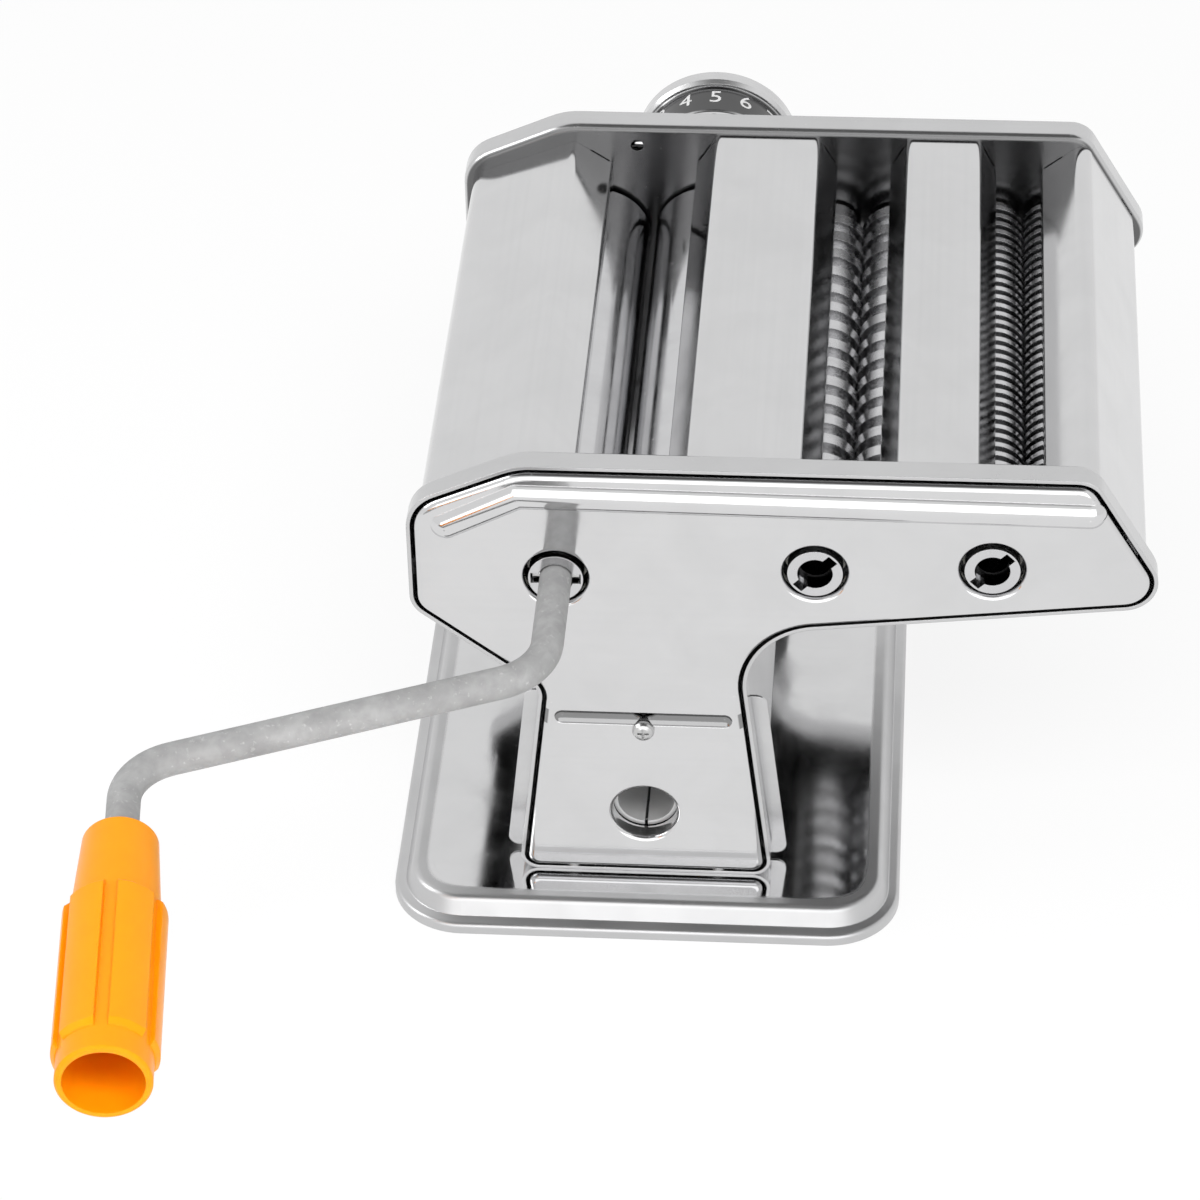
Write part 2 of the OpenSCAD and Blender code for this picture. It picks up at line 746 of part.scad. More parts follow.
// Plain bearings in the side frames, each with a thin lip inside the wall
module bush(place, shaft_r) {
    r = shaft_r + run_fit;
    out = shaft_r + bush_wall;
    front() translate([place.x, place.y, 0]) rotate_extrude()
        polygon([[r, wall_y - bush_lip], [out + 0.8, wall_y - bush_lip], [out + 0.8, wall_y],
            [out, wall_y], [out, wall_out + 0.4], [r, wall_out + 0.4]]);
}

module shaft_bushes() {
    color(nylon) {
        for (p = [drive, wide_a, narrow_a]) bush(p, socket_shaft_r);
        for (p = [dial, wide_b, narrow_b]) bush(p, journal_r);
        mirror([0, 1, 0]) for (p = [drive, wide_a, wide_b, narrow_a, narrow_b]) bush(p, journal_r);
    }
}

// Scrapers that lie along the smooth rollers
module roller_scrapers() {
    drive_tip = drive + (roller_r + side_fit) * [cos(215), sin(215)];
    adj_tip = adj + (roller_r + throw + side_fit + 0.3) * [cos(-33), sin(-33)];
    color(dark_steel) front() linear_extrude(throat_w, center = true) {
        strip([drive_tip + [-0.4, -0.2], drive_tip + [-6.5, -4.5], drive_tip + [-6.5, -9.5]], 0.6);
        strip([adj_tip + [0.4, -0.2], adj_tip + [6, -4.2], adj_tip + [6, -9]], 0.6);
    }
}

// Cutters
function land_count(pitch) = floor((2 * roller_end - land_w(pitch) - 0.1) / pitch);
// Middles of the lands: the driven cutter has n of them, the idle one n + 1, half a pitch off
function land_places(pitch, n) = [for (k = [0 : n - 1]) (k - (n - 1) / 2) * pitch];
function land_points(places, w, r, groove) = [for (y = places)
    each [[groove, y - w / 2], [r, y - w / 2], [r, y + w / 2], [groove, y + w / 2]]];
function land_w(pitch) = pitch / 2 - land_fit;
function driven_lands(pitch) = land_places(pitch, land_count(pitch));
function idle_lands(pitch) = land_places(pitch, land_count(pitch) + 1);

module cutter_driven(place, pitch, r, groove) {
    color(steel) difference() {
        turned(place, [
            [0, -socket_end], [socket_shaft_r, -socket_end], [socket_shaft_r, -roller_end],
            [groove, -roller_end],
            each land_points(driven_lands(pitch), land_w(pitch), r, groove),
            [groove, roller_end], [journal_r, roller_end], [journal_r, gear_end + 0.6], [0, gear_end + 0.6]]);
        socket(place, 45);
    }
}

module cutter_idle(place, pitch, r, groove) {
    color(steel) turned(place, [
        [0, -gear_end], [journal_r, -gear_end], [journal_r, -roller_end],
        [groove, -roller_end],
        each land_points(idle_lands(pitch), land_w(pitch), r, groove),
        [groove, roller_end], [journal_r, roller_end], [journal_r, gear_end + 0.6], [0, gear_end + 0.6]]);
}

// Crank socket in a shaft's front end: bore, wider mouth and two key slots
module socket(place, turned_by) {
    front() translate([place.x, place.y, 0]) rotate(turned_by) {
        translate([0, 0, socket_end - socket_depth]) cylinder(r = rod_r + run_fit, h = socket_depth + 1);
        translate([0, 0, socket_end - socket_mouth]) {
            cylinder(r = rod_r + 0.4, h = socket_mouth + 1);
            translate([-key_r, -key_w / 2, 0]) cube([2 * key_r, key_w, socket_mouth + 1]);
        }
    }
}

// Comb strip of one cutter: a bar outside the lands with a finger in every groove
module comb(place, r, groove, places, w, side) {
    tip = groove + comb_gap;
    color(dark_steel) front() translate([place.x, place.y, 0]) mirror([side, 0, 0]) {
        linear_extrude(throat_w, center = true)
            rotate(-125) translate([r + 0.5, -0.75]) square([3.6, 1.5]);
        for (y = places) translate([0, 0, y])
            linear_extrude(w, center = true) {
                rotate(-125) translate([tip + 0.3, -0.75]) square([r - tip + 1.2, 1.5]);
                intersection() {
                    difference() {
                        circle(r = tip + 1.3);
                        circle(r = tip);
                    }
                    polygon([[0, 0], 20 * [cos(-127), sin(-127)], 20 * [cos(-95), sin(-95)],
                        20 * [cos(-62), sin(-62)]]);
                }
            }
    }
}

module combs(a, b, pitch, r, groove) {
    w = pitch - land_w(pitch) - 2 * comb_gap;
    comb(a, r, groove, idle_lands(pitch), w, 0);
    comb(b, r, groove, driven_lands(pitch), w, 1);
}

module wide_cutter_combs() combs(wide_a, wide_b, wide_pitch, wide_r, wide_groove_r);
module narrow_cutter_combs() combs(narrow_a, narrow_b, narrow_pitch, narrow_r, narrow_groove_r);
module wide_cutter_driven() cutter_driven(wide_a, wide_pitch, wide_r, wide_groove_r);
module wide_cutter_idle() cutter_idle(wide_b, wide_pitch, wide_r, wide_groove_r);
module narrow_cutter_driven() cutter_driven(narrow_a, narrow_pitch, narrow_r, narrow_groove_r);
module narrow_cutter_idle() cutter_idle(narrow_b, narrow_pitch, narrow_r, narrow_groove_r);

// Gears with involute flanks
function involute(base, r) = let (a = acos(min(1, base / r))) tan(a) - a * PI / 180;
// Half angle of a tooth at radius r, in degrees
function tooth_half(pitch_r, base, s, r) =
    (s / (2 * pitch_r) + involute(base, pitch_r) - involute(base, max(r, base))) * 180 / PI;

// c is the centre distance, near the closest one, s the tooth's thickness on the pitch circle
module gear(place, c, near, add, s, bore, phase) {
    pitch_r = c / 2;
    base = pitch_r * cos(20);
    tip_r = pitch_r + add;
    root_r = near - tip_r - 0.2;
    steps = 5;
    radii = [for (k = [0 : steps]) max(root_r, base * 0.97) + (tip_r - max(root_r, base * 0.97)) * k / steps];
    flank = [[root_r - 0.4, tooth_half(pitch_r, base, s, root_r)],
        each [for (r = radii) [r, tooth_half(pitch_r, base, s, r)]]];
    far = len(flank) - 1;
    color(brass) back() translate([place.x, place.y, gear_y]) linear_extrude(gear_w)
        difference() {
            union() {
                circle(r = root_r);
                for (k = [0 : teeth - 1]) rotate(k * 360 / teeth + phase)
                    polygon([
                        for (f = flank) f[0] * [cos(-f[1]), sin(-f[1])],
                        for (k = [far : -1 : 0]) flank[k][0] * [cos(flank[k][1]), sin(flank[k][1])]]);
            }
            circle(r = bore);
        }
}

module roller_gear(place, bore, phase) {
    gear(place, roller_c, roller_c - throw, 1.25, PI * roller_c / teeth / 2 - 1.35, bore, phase);
}
module cutter_gear(place, c, phase) {
    gear(place, c, c, c / teeth * 0.8, PI * c / teeth / 2 - 0.25, journal_r, phase);
}
half_tooth = 180 / teeth;
module drive_gear() roller_gear(drive, journal_r, 0);
module adjustable_gear() roller_gear(adj, neck_r, half_tooth + 2 * mesh_lean);
module wide_gear_driven() cutter_gear(wide_a, wide_c, 0);
module wide_gear_idle() cutter_gear(wide_b, wide_c, half_tooth);
module narrow_gear_driven() cutter_gear(narrow_a, narrow_c, 0);
module narrow_gear_idle() cutter_gear(narrow_b, narrow_c, half_tooth);

// Smooth rollers
module drive_roller() {
    color(steel) difference() {
        turned(drive, [
            [0, -socket_end], [socket_shaft_r, -socket_end], [socket_shaft_r, -roller_end],
            [roller_r - 0.5, -roller_end], [roller_r, 0.5 - roller_end], [roller_r, roller_end - 0.5],
            [roller_r - 0.5, roller_end], [bore_r, roller_end], [bore_r, socket_depth - socket_end + 8],
            [0, socket_depth - socket_end + 8]]);
        socket(drive, 0);
    }
}

module drive_end_plug() {
    color(steel) turned(drive, [[0, roller_end - 10], [bore_r, roller_end - 10], [bore_r, roller_end],
        [journal_r, roller_end], [journal_r, gear_end + 0.6], [0, gear_end + 0.6]]);
}

module adjustable_roller() {
    r = sleeve_r + run_fit;
    step = roller_end - sleeve_in;
    color(steel) turned(adj, [
        [r, -roller_end], [roller_r - 0.5, -roller_end], [roller_r, 0.5 - roller_end],
        [roller_r, roller_end - 0.5], [roller_r - 0.5, roller_end], [neck_r, roller_end],
        [neck_r, gear_end + 0.2], [r, gear_end + 0.2], [r, step], [bore_r, step - 1],
        [bore_r, 1 - step], [r, -step]]);
}

module eccentric_sleeves() {
    r = ecc_r + run_fit;
    step = roller_end - sleeve_in;
    color(nylon) {
        turned(adj, [[r, -roller_end + 0.2], [sleeve_r, -roller_end + 0.2], [sleeve_r, -step], [r, -step]]);
        turned(adj, [[r, step], [sleeve_r, step], [sleeve_r, gear_end], [r, gear_end]]);
    }
}

module eccentric_shaft() {
    step = roller_end - sleeve_in - 1;
    color(steel) {
        bar_y(dial, journal_r, -wall_out - 1.5, -step);
        bar_y(adj, ecc_r, 0.2 - roller_end, -step);
        bar_y(dial, 4, -step - 1, step + 1);
        bar_y(adj, ecc_r, step, gear_end + 0.3);
        bar_y(dial, dial_journal_r, gear_end, web_y - 1);
        difference() {
            bar_y(dial, dial_shaft_r, gear_end, washer_y);
            dial_flat(0);
            bar_y(dial, 1.5, washer_y - 8, washer_y + 1);
        }
    }
}

// What the flat takes off the dial's shaft
module dial_flat(grow) {
    back() translate([dial.x - 10, dial.y + dial_shaft_r - 0.8 + grow, web_y - 0.9]) cube([20, 10, 30]);
}

// Dial
module dial_housing() {
    mark_w = 1;
    color(steel) difference() {
        union() {
            bar_y(dial, housing_plate_r, housing_y, housing_y + 0.9);
            turned(dial, [[0, housing_y], [housing_r, housing_y], [housing_r, band_y - 1],
                [housing_r - 0.5, band_y - 0.5], [spigot_r, band_y - 0.5], [spigot_r, housing_end],
                [0, housing_end]]);
            for (a = [60, 120, 240, 300])
                bar_y(dial + post_at * [cos(a), sin(a)], post_r, wall_out, housing_y + 0.5);
        }
        bar_y(dial, dial_journal_r + run_fit, housing_y - 1, housing_end + 1);
        for (k = [0 : settings - 1])
            bar_y(dial + pin_at * [sin(setting_angle(k)), -cos(setting_angle(k))], 1.7, housing_end - 3, housing_end + 1);
        translate([dial.x - mark_w / 2, band_y - 9, dial.y + housing_r - 0.5]) cube([mark_w, 7, 2]);
    }
}

function setting_angle(k) = (k - (settings - 1) / 2) * 2 * dial_travel / (settings - 1);

module dial_knob() {
    color(steel) difference() {
        turned(dial, [
            [0, web_y], [spigot_r + 0.5, web_y], [spigot_r + 0.5, band_y], [band_r - 0.4, band_y],
            [band_r, band_y + 0.4], [band_r, rim_start - 0.5], [band_r + 0.5, rim_start],
            [dial_r - 1, rim_start], [dial_r, rim_start + 1], [dial_r, dial_end - 2],
            [dial_r - 2, dial_end], [spring_room_r + 2, dial_end],
            [spring_room_r, dial_end - 1.5], [spring_room_r, web_y + web_t], [0, web_y + web_t]]);
        difference() {
            bar_y(dial, dial_shaft_r + run_fit, web_y - 1, web_y + web_t + 1);
            dial_flat(run_fit);
        }
        bar_y(dial + [0, -pin_at], 1.5, web_y - 1, web_y + 2);
    }
}

module dial_pin() color(dark_steel) bar_y(dial + [0, -pin_at], 1.5, housing_end + side_fit, web_y + 2);

module dial_washer() {
    color(steel) difference() {
        bar_y(dial, spring_room_r - 0.4, washer_y, washer_y + washer_t);
        bar_y(dial, 1.5, washer_y - 1, washer_y + washer_t + 1);
    }
}

module dial_screw() {
    head_y = washer_y + washer_t;
    color(dark_steel) difference() {
        union() {
            bar_y(dial, 1.5, washer_y - 8, head_y);
            turned(dial, [[0, head_y], [3.6, head_y], [3.6, head_y + 1], [2.6, head_y + 2], [0, head_y + 2]]);
        }
        for (a = [0, 90])
            back() translate([dial.x, dial.y, head_y + 1]) rotate(a) translate([-1.8, -0.35, 0]) cube([3.6, 0.7, 2]);
    }
}

// Compression spring, its wire swept along a helix
module dial_spring() {
    sides = 6;
    steps = 14 * coils;
    low = web_y + web_t + wire_r + 0.1;
    rise = washer_y - wire_r - 0.1 - low;
    points = [for (k = [0 : steps]) for (j = [0 : sides - 1])
        let (a = k * 360 * coils / steps, b = j * 360 / sides, r = coil_r + wire_r * cos(b))
        [r * cos(a), r * sin(a), low + rise * k / steps + wire_r * sin(b)]];
    walls = [for (k = [0 : steps - 1]) for (j = [0 : sides - 1])
        let (n = (j + 1) % sides) [k * sides + j, k * sides + n, (k + 1) * sides + n, (k + 1) * sides + j]];
    color(dark_steel) on_axis(dial)
        polyhedron(points, [
            [for (j = [sides - 1 : -1 : 0]) j],
            each walls,
            [for (j = [0 : sides - 1]) steps * sides + j]]);
}

// Crank
module crank_rod() {
    color(dark_steel) translate([0, 0, axis_h]) difference() {
        sweep_open([[drive.x, rod_start], bend_1, bend_2, rod_end], [0, 18, 16, 0])
            circle(r = rod_r + $grow);
        translate([drive.x, crank_pin_y, 0]) rotate([0, 90, 0]) cylinder(r = crank_pin_r, h = 20, center = true);
    }
}

module crank_pin() {
    color(steel) translate([drive.x, crank_pin_y, axis_h]) rotate([0, 90, 0])
        cylinder(r = crank_pin_r, h = 2 * key_r - 0.8, center = true);
}

// z runs along the grip's axis, from its inner end to its open end
module on_grip() {
    start = bend_2 + grip_dir * grip_start;
    translate([start.x, start.y, axis_h]) rotate([0, 0, grip_lean]) rotate([90, 0, 0]) children();
}

module grip() {
    bearing = rod_in_grip - 4;
    wall = 1.75;
    rib_from = 0.31 * grip_len;
    rib_to = 0.91 * grip_len;
    color(orange) on_grip() {
        rotate_extrude($fn = 96) polygon([
            [rod_r + run_fit, 0], [grip_r - 3, 0], [grip_r - 2, 1], [grip_r - 0.5, rib_from],
            [grip_r, grip_len - 12], [grip_r, grip_len - 0.6], [grip_r - 0.6, grip_len],
            [grip_r - wall, grip_len], [grip_r - wall - 0.6, bearing], [rod_r + run_fit, bearing]]);
        for (k = [0 : grip_ribs - 1]) rotate((k - rib_share / 2) * 360 / grip_ribs)
            rotate_extrude(angle = rib_share * 360 / grip_ribs)
                polygon([[grip_r - 1.6, rib_from - 0.5], [grip_rib_r - 1.3, rib_from],
                    [grip_rib_r, rib_from + 1.6], [grip_rib_r, rib_to - 1.5],
                    [grip_rib_r - 1, rib_to], [grip_r - 1.4, rib_to + 0.2]]);
    }
}

module grip_retainer() {
    color(dark_steel) on_grip() translate([0, 0, rod_in_grip - 4 + side_fit]) difference() {
        cylinder(r = 7.5, h = 1.2);
        translate([0, 0, -1]) cylinder(r = rod_r, h = 4);
    }
}

base_plate();
rubber_feet();
front_side_frame();
back_side_frame();
front_cover();
back_cover();
leg_side_panels();
dough_chute();
clamp_sleeve();
left_top_cover();
wide_top_cover();
narrow_top_cover();
right_top_cover();
tie_rods();
tie_rod_nuts();
leg_tie_rod();
cover_screws();
base_rivets();
shaft_bushes();
dial_housing();
roller_scrapers();
wide_cutter_combs();
narrow_cutter_combs();
drive_roller();
drive_end_plug();
drive_gear();
adjustable_roller();
adjustable_gear();
eccentric_sleeves();
eccentric_shaft();
dial_washer();
dial_screw();
dial_spring();
dial_knob();
dial_pin();
wide_cutter_driven();
wide_gear_driven();
wide_cutter_idle();
wide_gear_idle();
narrow_cutter_driven();
narrow_gear_driven();
narrow_cutter_idle();
narrow_gear_idle();
crank_rod();
crank_pin();
grip_retainer();
grip();
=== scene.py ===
"""Finishes, dial numerals, studio and camera for a hand-cranked pasta roller machine.

The machine itself is a packed assembly of steel, brass, nylon and plastic pieces. This add-on gives each
piece its finish, sets the numerals on the thickness dial and puts a plain white studio around it.
"""
import math

import bpy
from bpy.props import FloatProperty, FloatVectorProperty, IntProperty, PointerProperty
from mathutils import Matrix, Vector


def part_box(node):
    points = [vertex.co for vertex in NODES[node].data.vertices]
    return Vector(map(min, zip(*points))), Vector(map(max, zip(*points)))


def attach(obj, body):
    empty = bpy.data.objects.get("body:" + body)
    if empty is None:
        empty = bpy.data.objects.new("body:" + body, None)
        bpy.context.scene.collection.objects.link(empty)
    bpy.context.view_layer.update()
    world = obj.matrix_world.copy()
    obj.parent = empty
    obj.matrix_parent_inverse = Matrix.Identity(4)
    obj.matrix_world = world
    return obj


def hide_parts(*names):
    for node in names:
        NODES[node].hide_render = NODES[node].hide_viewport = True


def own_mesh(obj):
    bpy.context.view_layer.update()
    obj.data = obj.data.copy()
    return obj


bl_info = {
    "name": "Pasta Machine Finishes",
    "version": (1, 0, 0),
    "blender": (4, 5, 0),
    "location": "3D Viewport > Sidebar > Pasta Machine",
    "description": "Finishes, dial numerals and a white studio for a hand-cranked pasta roller machine",
    "category": "Object",
}

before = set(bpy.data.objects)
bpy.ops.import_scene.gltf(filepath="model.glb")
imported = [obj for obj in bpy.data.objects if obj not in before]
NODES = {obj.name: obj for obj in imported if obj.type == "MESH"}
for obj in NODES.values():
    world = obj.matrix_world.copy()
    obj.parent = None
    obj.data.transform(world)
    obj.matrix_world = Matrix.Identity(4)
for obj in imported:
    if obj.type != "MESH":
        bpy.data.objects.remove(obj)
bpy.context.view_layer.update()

# The pieces that share each finish.
TOP_SHEETS = ["left_top_cover", "wide_top_cover", "narrow_top_cover", "right_top_cover", "dough_chute"]
SIDE_SHEETS = ["front_cover", "back_cover"]
FRAME_SHEETS = ["front_side_frame", "back_side_frame"]
ROLLERS = ["drive_roller", "drive_end_plug", "adjustable_roller"]
CUTTERS = ["wide_cutter_driven", "wide_cutter_idle", "narrow_cutter_driven", "narrow_cutter_idle"]
COMBS = ["roller_scrapers", "wide_cutter_combs", "narrow_cutter_combs"]
GEARS = ["drive_gear", "adjustable_gear", "wide_gear_driven", "wide_gear_idle", "narrow_gear_driven",
         "narrow_gear_idle"]
FASTENERS = ["tie_rods", "tie_rod_nuts", "leg_tie_rod", "cover_screws", "base_rivets"]
DIAL_SHEETS = ["dial_knob", "dial_housing"]
DIAL_WORKS = ["eccentric_shaft", "dial_washer", "dial_screw", "dial_spring", "dial_pin"]
BUSHES = ["shaft_bushes", "eccentric_sleeves"]

# Brightness of clean, clouded and scored metal, and of its brighter edges (part wear from rubbing, part
# painted highlight), beside the colour of its finish.
CLEAN, CLOUDED, SCORED, WORN_AND_HIGHLIT = 1.01, 0.97, 0.84, 1.3
# The same for the crank rod's light and dark blotches, its small stains and its worn specks.
ROD_LIGHT, ROD_DARK, ROD_STAIN, ROD_WORN = 1.1, 0.88, 0.8, 1.7

# Scratches, cut marks and grain, in lines per metre along X, Y and Z.
ALONG_Y = (700.0, 7.0, 700.0)
ALONG_X = (6.0, 600.0, 700.0)
TRAY_LINES = (6.0, 600.0, 600.0)
ROLLER_LINES = (20.0, 900.0, 20.0)
CUTTER_LINES = (30.0, 1600.0, 30.0)
COMB_LINES = (60.0, 500.0, 60.0)
FITTING_LINES = (90.0, 500.0, 90.0)
GEAR_LINES = (120.0, 900.0, 120.0)
DIAL_LINES = (30.0, 900.0, 30.0)

# Each polished sheet's blur, grain depth and ripple depth, beside those of the sheet finish.
TOP_SHARES = (1.6, 1.0, 0.2)
SIDE_SHARES = (1.0, 0.6, 0.15)
TRAY_SHARES = (0.8, 0.4, 1.0)
SATIN_RIPPLE = 0.2

BRASS = (0.66, 0.45, 0.17)
ZINC = (0.62, 0.62, 0.62)
NYLON = ((0.8, 0.79, 0.74, 1.0), (0.68, 0.66, 0.6, 1.0))
RUBBER = ((0.022, 0.022, 0.023, 1.0), (0.05, 0.049, 0.047, 1.0))
NUMERALS = ((0.86, 0.86, 0.86, 1.0), (0.72, 0.72, 0.72, 1.0))

# Borders of the areas that are painted by place, in metres: where each one starts, and where it is full.
# Painted shade on the side frames' inner faces starts beyond this border.
INNER_SHADE_BORDER = (0.0019, 0.0015)  # from the drive roller's end, outwards
# Painted shade in the covers' grooves fills the next two borders.
COVER_GROOVE = (0.0026, 0.0023)  # from the groove's middle, up and down
GROOVE_DEPTH = (-5e-5, -2e-4)  # from the flat of the cover, outwards
TRAY_SKIRT = (5e-4, -5e-4)  # from the skirt's inner border, inwards
CORNER_ROUNDING = 0.02  # of the skirt's inner border at the tray's corners
# Painted shade in the cutters' grooves starts beyond this border.
CUTTER_GROOVE = (-3e-4, -9e-4)  # from the tops of a cutter's lands, outwards
CUTTER_LENGTH = (0.0768, 0.0766)  # from the middle of the machine
# Painted shade inside the shafts' sockets fills the next three borders.
SOCKET_BORE = (0.0062, 0.006)  # from the shaft's axis
SOCKET_MOUTH = (2e-4, 5e-4)  # from the cutters' front ends, inwards
SOCKET_END = (0.0202, 0.02)  # from the cutters' front ends, inwards
# The painted dark reflection on the dial's band starts beyond this border.
DIAL_BAND = (2e-4, 5e-4)  # from the dial's inner edge, outwards
DIAL_RIM = (-3e-4, 0.0)  # from the rim's place, outwards

# Name, place, the point it faces, width and height in metres, the setting of its power, seen in mirrors.
SOFTBOXES = (
    ("Overhead Softbox", (0.15, -0.75, 1.05), (0.03, 0.0, 0.1), (0.9, 0.35), "key_watts", False),
    ("Left Softbox", (-1.1, -0.2, 0.9), (0.0, 0.0, 0.08), (0.5, 0.9), "side_watts", True),
    ("Low Front Softbox", (0.1, -1.3, 0.5), (0.03, 0.0, 0.25), (1.8, 1.0), "low_watts", True),
)
FLOOR_HALF, FLOOR_LEVEL = 6.0, -0.0002
# Height of a direction, 1 straight up, where the dark ceiling starts and where it is full.
CEILING_BEFORE, CEILING_BEHIND = (0.74, 0.84), (0.9, 0.96)


class SheetFinish(bpy.types.PropertyGroup):
    """Mirror-polished stainless sheet."""
    colour: FloatVectorProperty(
        name="Sheet Colour", description="Colour that the polished sheet reflects",
        subtype="COLOR", size=3, min=0.0, max=1.0, default=(0.66, 0.66, 0.665))
    roughness: FloatProperty(
        name="Sheet Roughness", description="Blur of the reflections in clean polished sheet",
        subtype="FACTOR", min=0.0, max=1.0, default=0.06)
    satin_roughness: FloatProperty(
        name="Satin Roughness", description="Blur of the reflections in the side frames and the dial's rim",
        subtype="FACTOR", min=0.0, max=1.0, default=0.2)
    frame_colour: FloatVectorProperty(
        name="Frame Colour", description="Colour that the satin side frames reflect",
        subtype="COLOR", size=3, min=0.0, max=1.0, default=(0.6, 0.6, 0.605))
    # The side frames' inner faces are darkened by this share as painted shade.
    inner_shade_share: FloatProperty(
        name="Inner Share",
        description="How bright the side frames' inner faces are beside their outer ones",
        subtype="FACTOR", min=0.0, max=1.0, default=0.24)
    # The covers' grooves are darkened by this share as painted shade.
    groove_shade_share: FloatProperty(
        name="Groove Share", description="How bright the covers' grooves are beside the flat sheet",
        subtype="FACTOR", min=0.0, max=1.0, default=0.4)
    groove_rise: FloatProperty(
        name="Groove Rise", description="Height of a cover's groove above its screw",
        subtype="DISTANCE", unit="LENGTH", min=0.0, max=0.02, precision=4, default=0.0036)
    skirt_width: FloatProperty(
        name="Skirt Width", description="Width of the duller border round the tray",
        subtype="DISTANCE", unit="LENGTH", min=0.0, max=0.05, precision=4, default=0.009)
    skirt_share: FloatProperty(
        name="Skirt Share", description="How bright the tray's border is beside its floor",
        subtype="FACTOR", min=0.0, max=1.0, default=0.85)
    skirt_blur: FloatProperty(
        name="Skirt Blur", description="Roughness that the tray's border has beyond its floor's",
        subtype="FACTOR", min=0.0, max=1.0, default=0.3)
    grain_depth: FloatProperty(
        name="Grain Depth", description="Depth of the fine lines that rolling leaves in the sheet",
        subtype="DISTANCE", unit="LENGTH", min=0.0, max=1e-4, precision=6, default=4e-7)
    ripple_depth: FloatProperty(
        name="Ripple Depth", description="Depth of the slow waves that pressing leaves in the sheet",
        subtype="DISTANCE", unit="LENGTH", min=0.0, max=1e-3, precision=6, default=3.0e-5)


class RollerFinish(bpy.types.PropertyGroup):
    """Ground rollers, turned cutters, combs and plated fittings."""
    roller_colour: FloatVectorProperty(
        name="Roller Colour", description="Colour that the smooth rollers reflect",
        subtype="COLOR", size=3, min=0.0, max=1.0, default=(0.62, 0.62, 0.63))
    roller_roughness: FloatProperty(
        name="Roller Roughness", description="Blur of the reflections in the smooth rollers",
        subtype="FACTOR", min=0.0, max=1.0, default=0.12)
    cutter_roughness: FloatProperty(
        name="Cutter Roughness", description="Blur of the reflections in the cutter discs",
        subtype="FACTOR", min=0.0, max=1.0, default=0.2)
    # The cutters' grooves are darkened by these shares as painted shade.
    wide_groove_shade_share: FloatProperty(
        name="Wide Groove Share",
        description="How bright the wide cutters' grooves are beside their lands",
        subtype="FACTOR", min=0.0, max=1.0, default=0.8)
    narrow_groove_shade_share: FloatProperty(
        name="Narrow Groove Share",
        description="How bright the narrow cutters' grooves are beside their lands",
        subtype="FACTOR", min=0.0, max=1.0, default=0.5)
    # The inside of the sockets is darkened by this share as painted shade.
    socket_shade_share: FloatProperty(
        name="Socket Share", description="How bright the inside of a shaft's socket is",
        subtype="FACTOR", min=0.0, max=1.0, default=0.06)
    # The combs are this dark as painted shade in the gaps between the cutters' lands.
    comb_shade_colour: FloatVectorProperty(
        name="Comb Colour", description="Colour of the scrapers and combs",
        subtype="COLOR", size=3, min=0.0, max=1.0, default=(0.22, 0.22, 0.22))
    fitting_colour: FloatVectorProperty(
        name="Fitting Colour", description="Colour of rods, nuts, screws, rivets and the dial's works",
        subtype="COLOR", size=3, min=0.0, max=1.0, default=(0.56, 0.56, 0.56))


class CrankFinish(bpy.types.PropertyGroup):
    """Dull plated crank rod and moulded grip."""
    rod_colour: FloatVectorProperty(
        name="Rod Colour", description="Colour of the dull plating on the crank rod",
        subtype="COLOR", size=3, min=0.0, max=1.0, default=(0.37, 0.37, 0.37))
    rod_roughness: FloatProperty(
        name="Rod Roughness", description="Roughness of the dull plating",
        subtype="FACTOR", min=0.0, max=1.0, default=0.58)
    grip_colour: FloatVectorProperty(
        name="Grip Colour", description="Colour of the moulded grip",
        subtype="COLOR", size=3, min=0.0, max=1.0, default=(1.0, 0.335, 0.002))


class DialMarks(bpy.types.PropertyGroup):
    """Numerals round the thickness dial."""
    count: IntProperty(
        name="Numerals", description="How many settings are numbered", min=1, max=9, default=9)
    top_number: IntProperty(
        name="Number At Top", description="The number on top at rest", min=1, max=9, default=5)
    step: FloatProperty(
        name="Step", description="Angle between two settings",
        subtype="ANGLE", unit="ROTATION", default=math.radians(24))
    height: FloatProperty(
        name="Numeral Height", description="Height of a numeral along the dial's axis",
        subtype="DISTANCE", unit="LENGTH", min=0.001, max=0.02, default=0.0084)
    band_radius: FloatProperty(
        name="Band Radius", description="Radius of the band under the numerals",
        subtype="DISTANCE", unit="LENGTH", min=0.01, max=0.03, precision=4, default=0.0218)
    rim_place: FloatProperty(
        name="Rim Place", description="Distance from the dial's inner edge to its satin rim",
        subtype="DISTANCE", unit="LENGTH", min=0.0, max=0.03, precision=4, default=0.0125)
    band_place: FloatProperty(
        name="Band Place", description="Distance from the dial's inner edge to the middle of the numerals",
        subtype="DISTANCE", unit="LENGTH", min=0.0, max=0.02, precision=4, default=0.0071)
    # The band is darkened by this share as a painted dark reflection.
    band_dark_reflection_share: FloatProperty(
        name="Band Share", description="How bright the band under the numerals is beside the plain steel",
        subtype="FACTOR", min=0.0, max=1.0, default=0.16)
    raised: FloatProperty(
        name="Raised", description="How far the filled numerals stand off the band",
        subtype="DISTANCE", unit="LENGTH", min=1e-5, max=1e-3, precision=5, default=4e-5)


class SpringShape(bpy.types.PropertyGroup):
    """Spring that holds the dial in."""
    turns: FloatProperty(
        name="Turns", description="How many times the wire goes round", min=0.5, max=20.0, default=3.0)
    wire_radius: FloatProperty(
        name="Wire Radius", description="Half of the wire's thickness",
        subtype="DISTANCE", unit="LENGTH", min=1e-4, max=0.002, precision=5, default=0.00065)
    pull: FloatProperty(
        name="Pull", description="How far the dial comes out against the spring",
        subtype="DISTANCE", unit="LENGTH", min=0.0, max=0.01, precision=4, default=0.004)


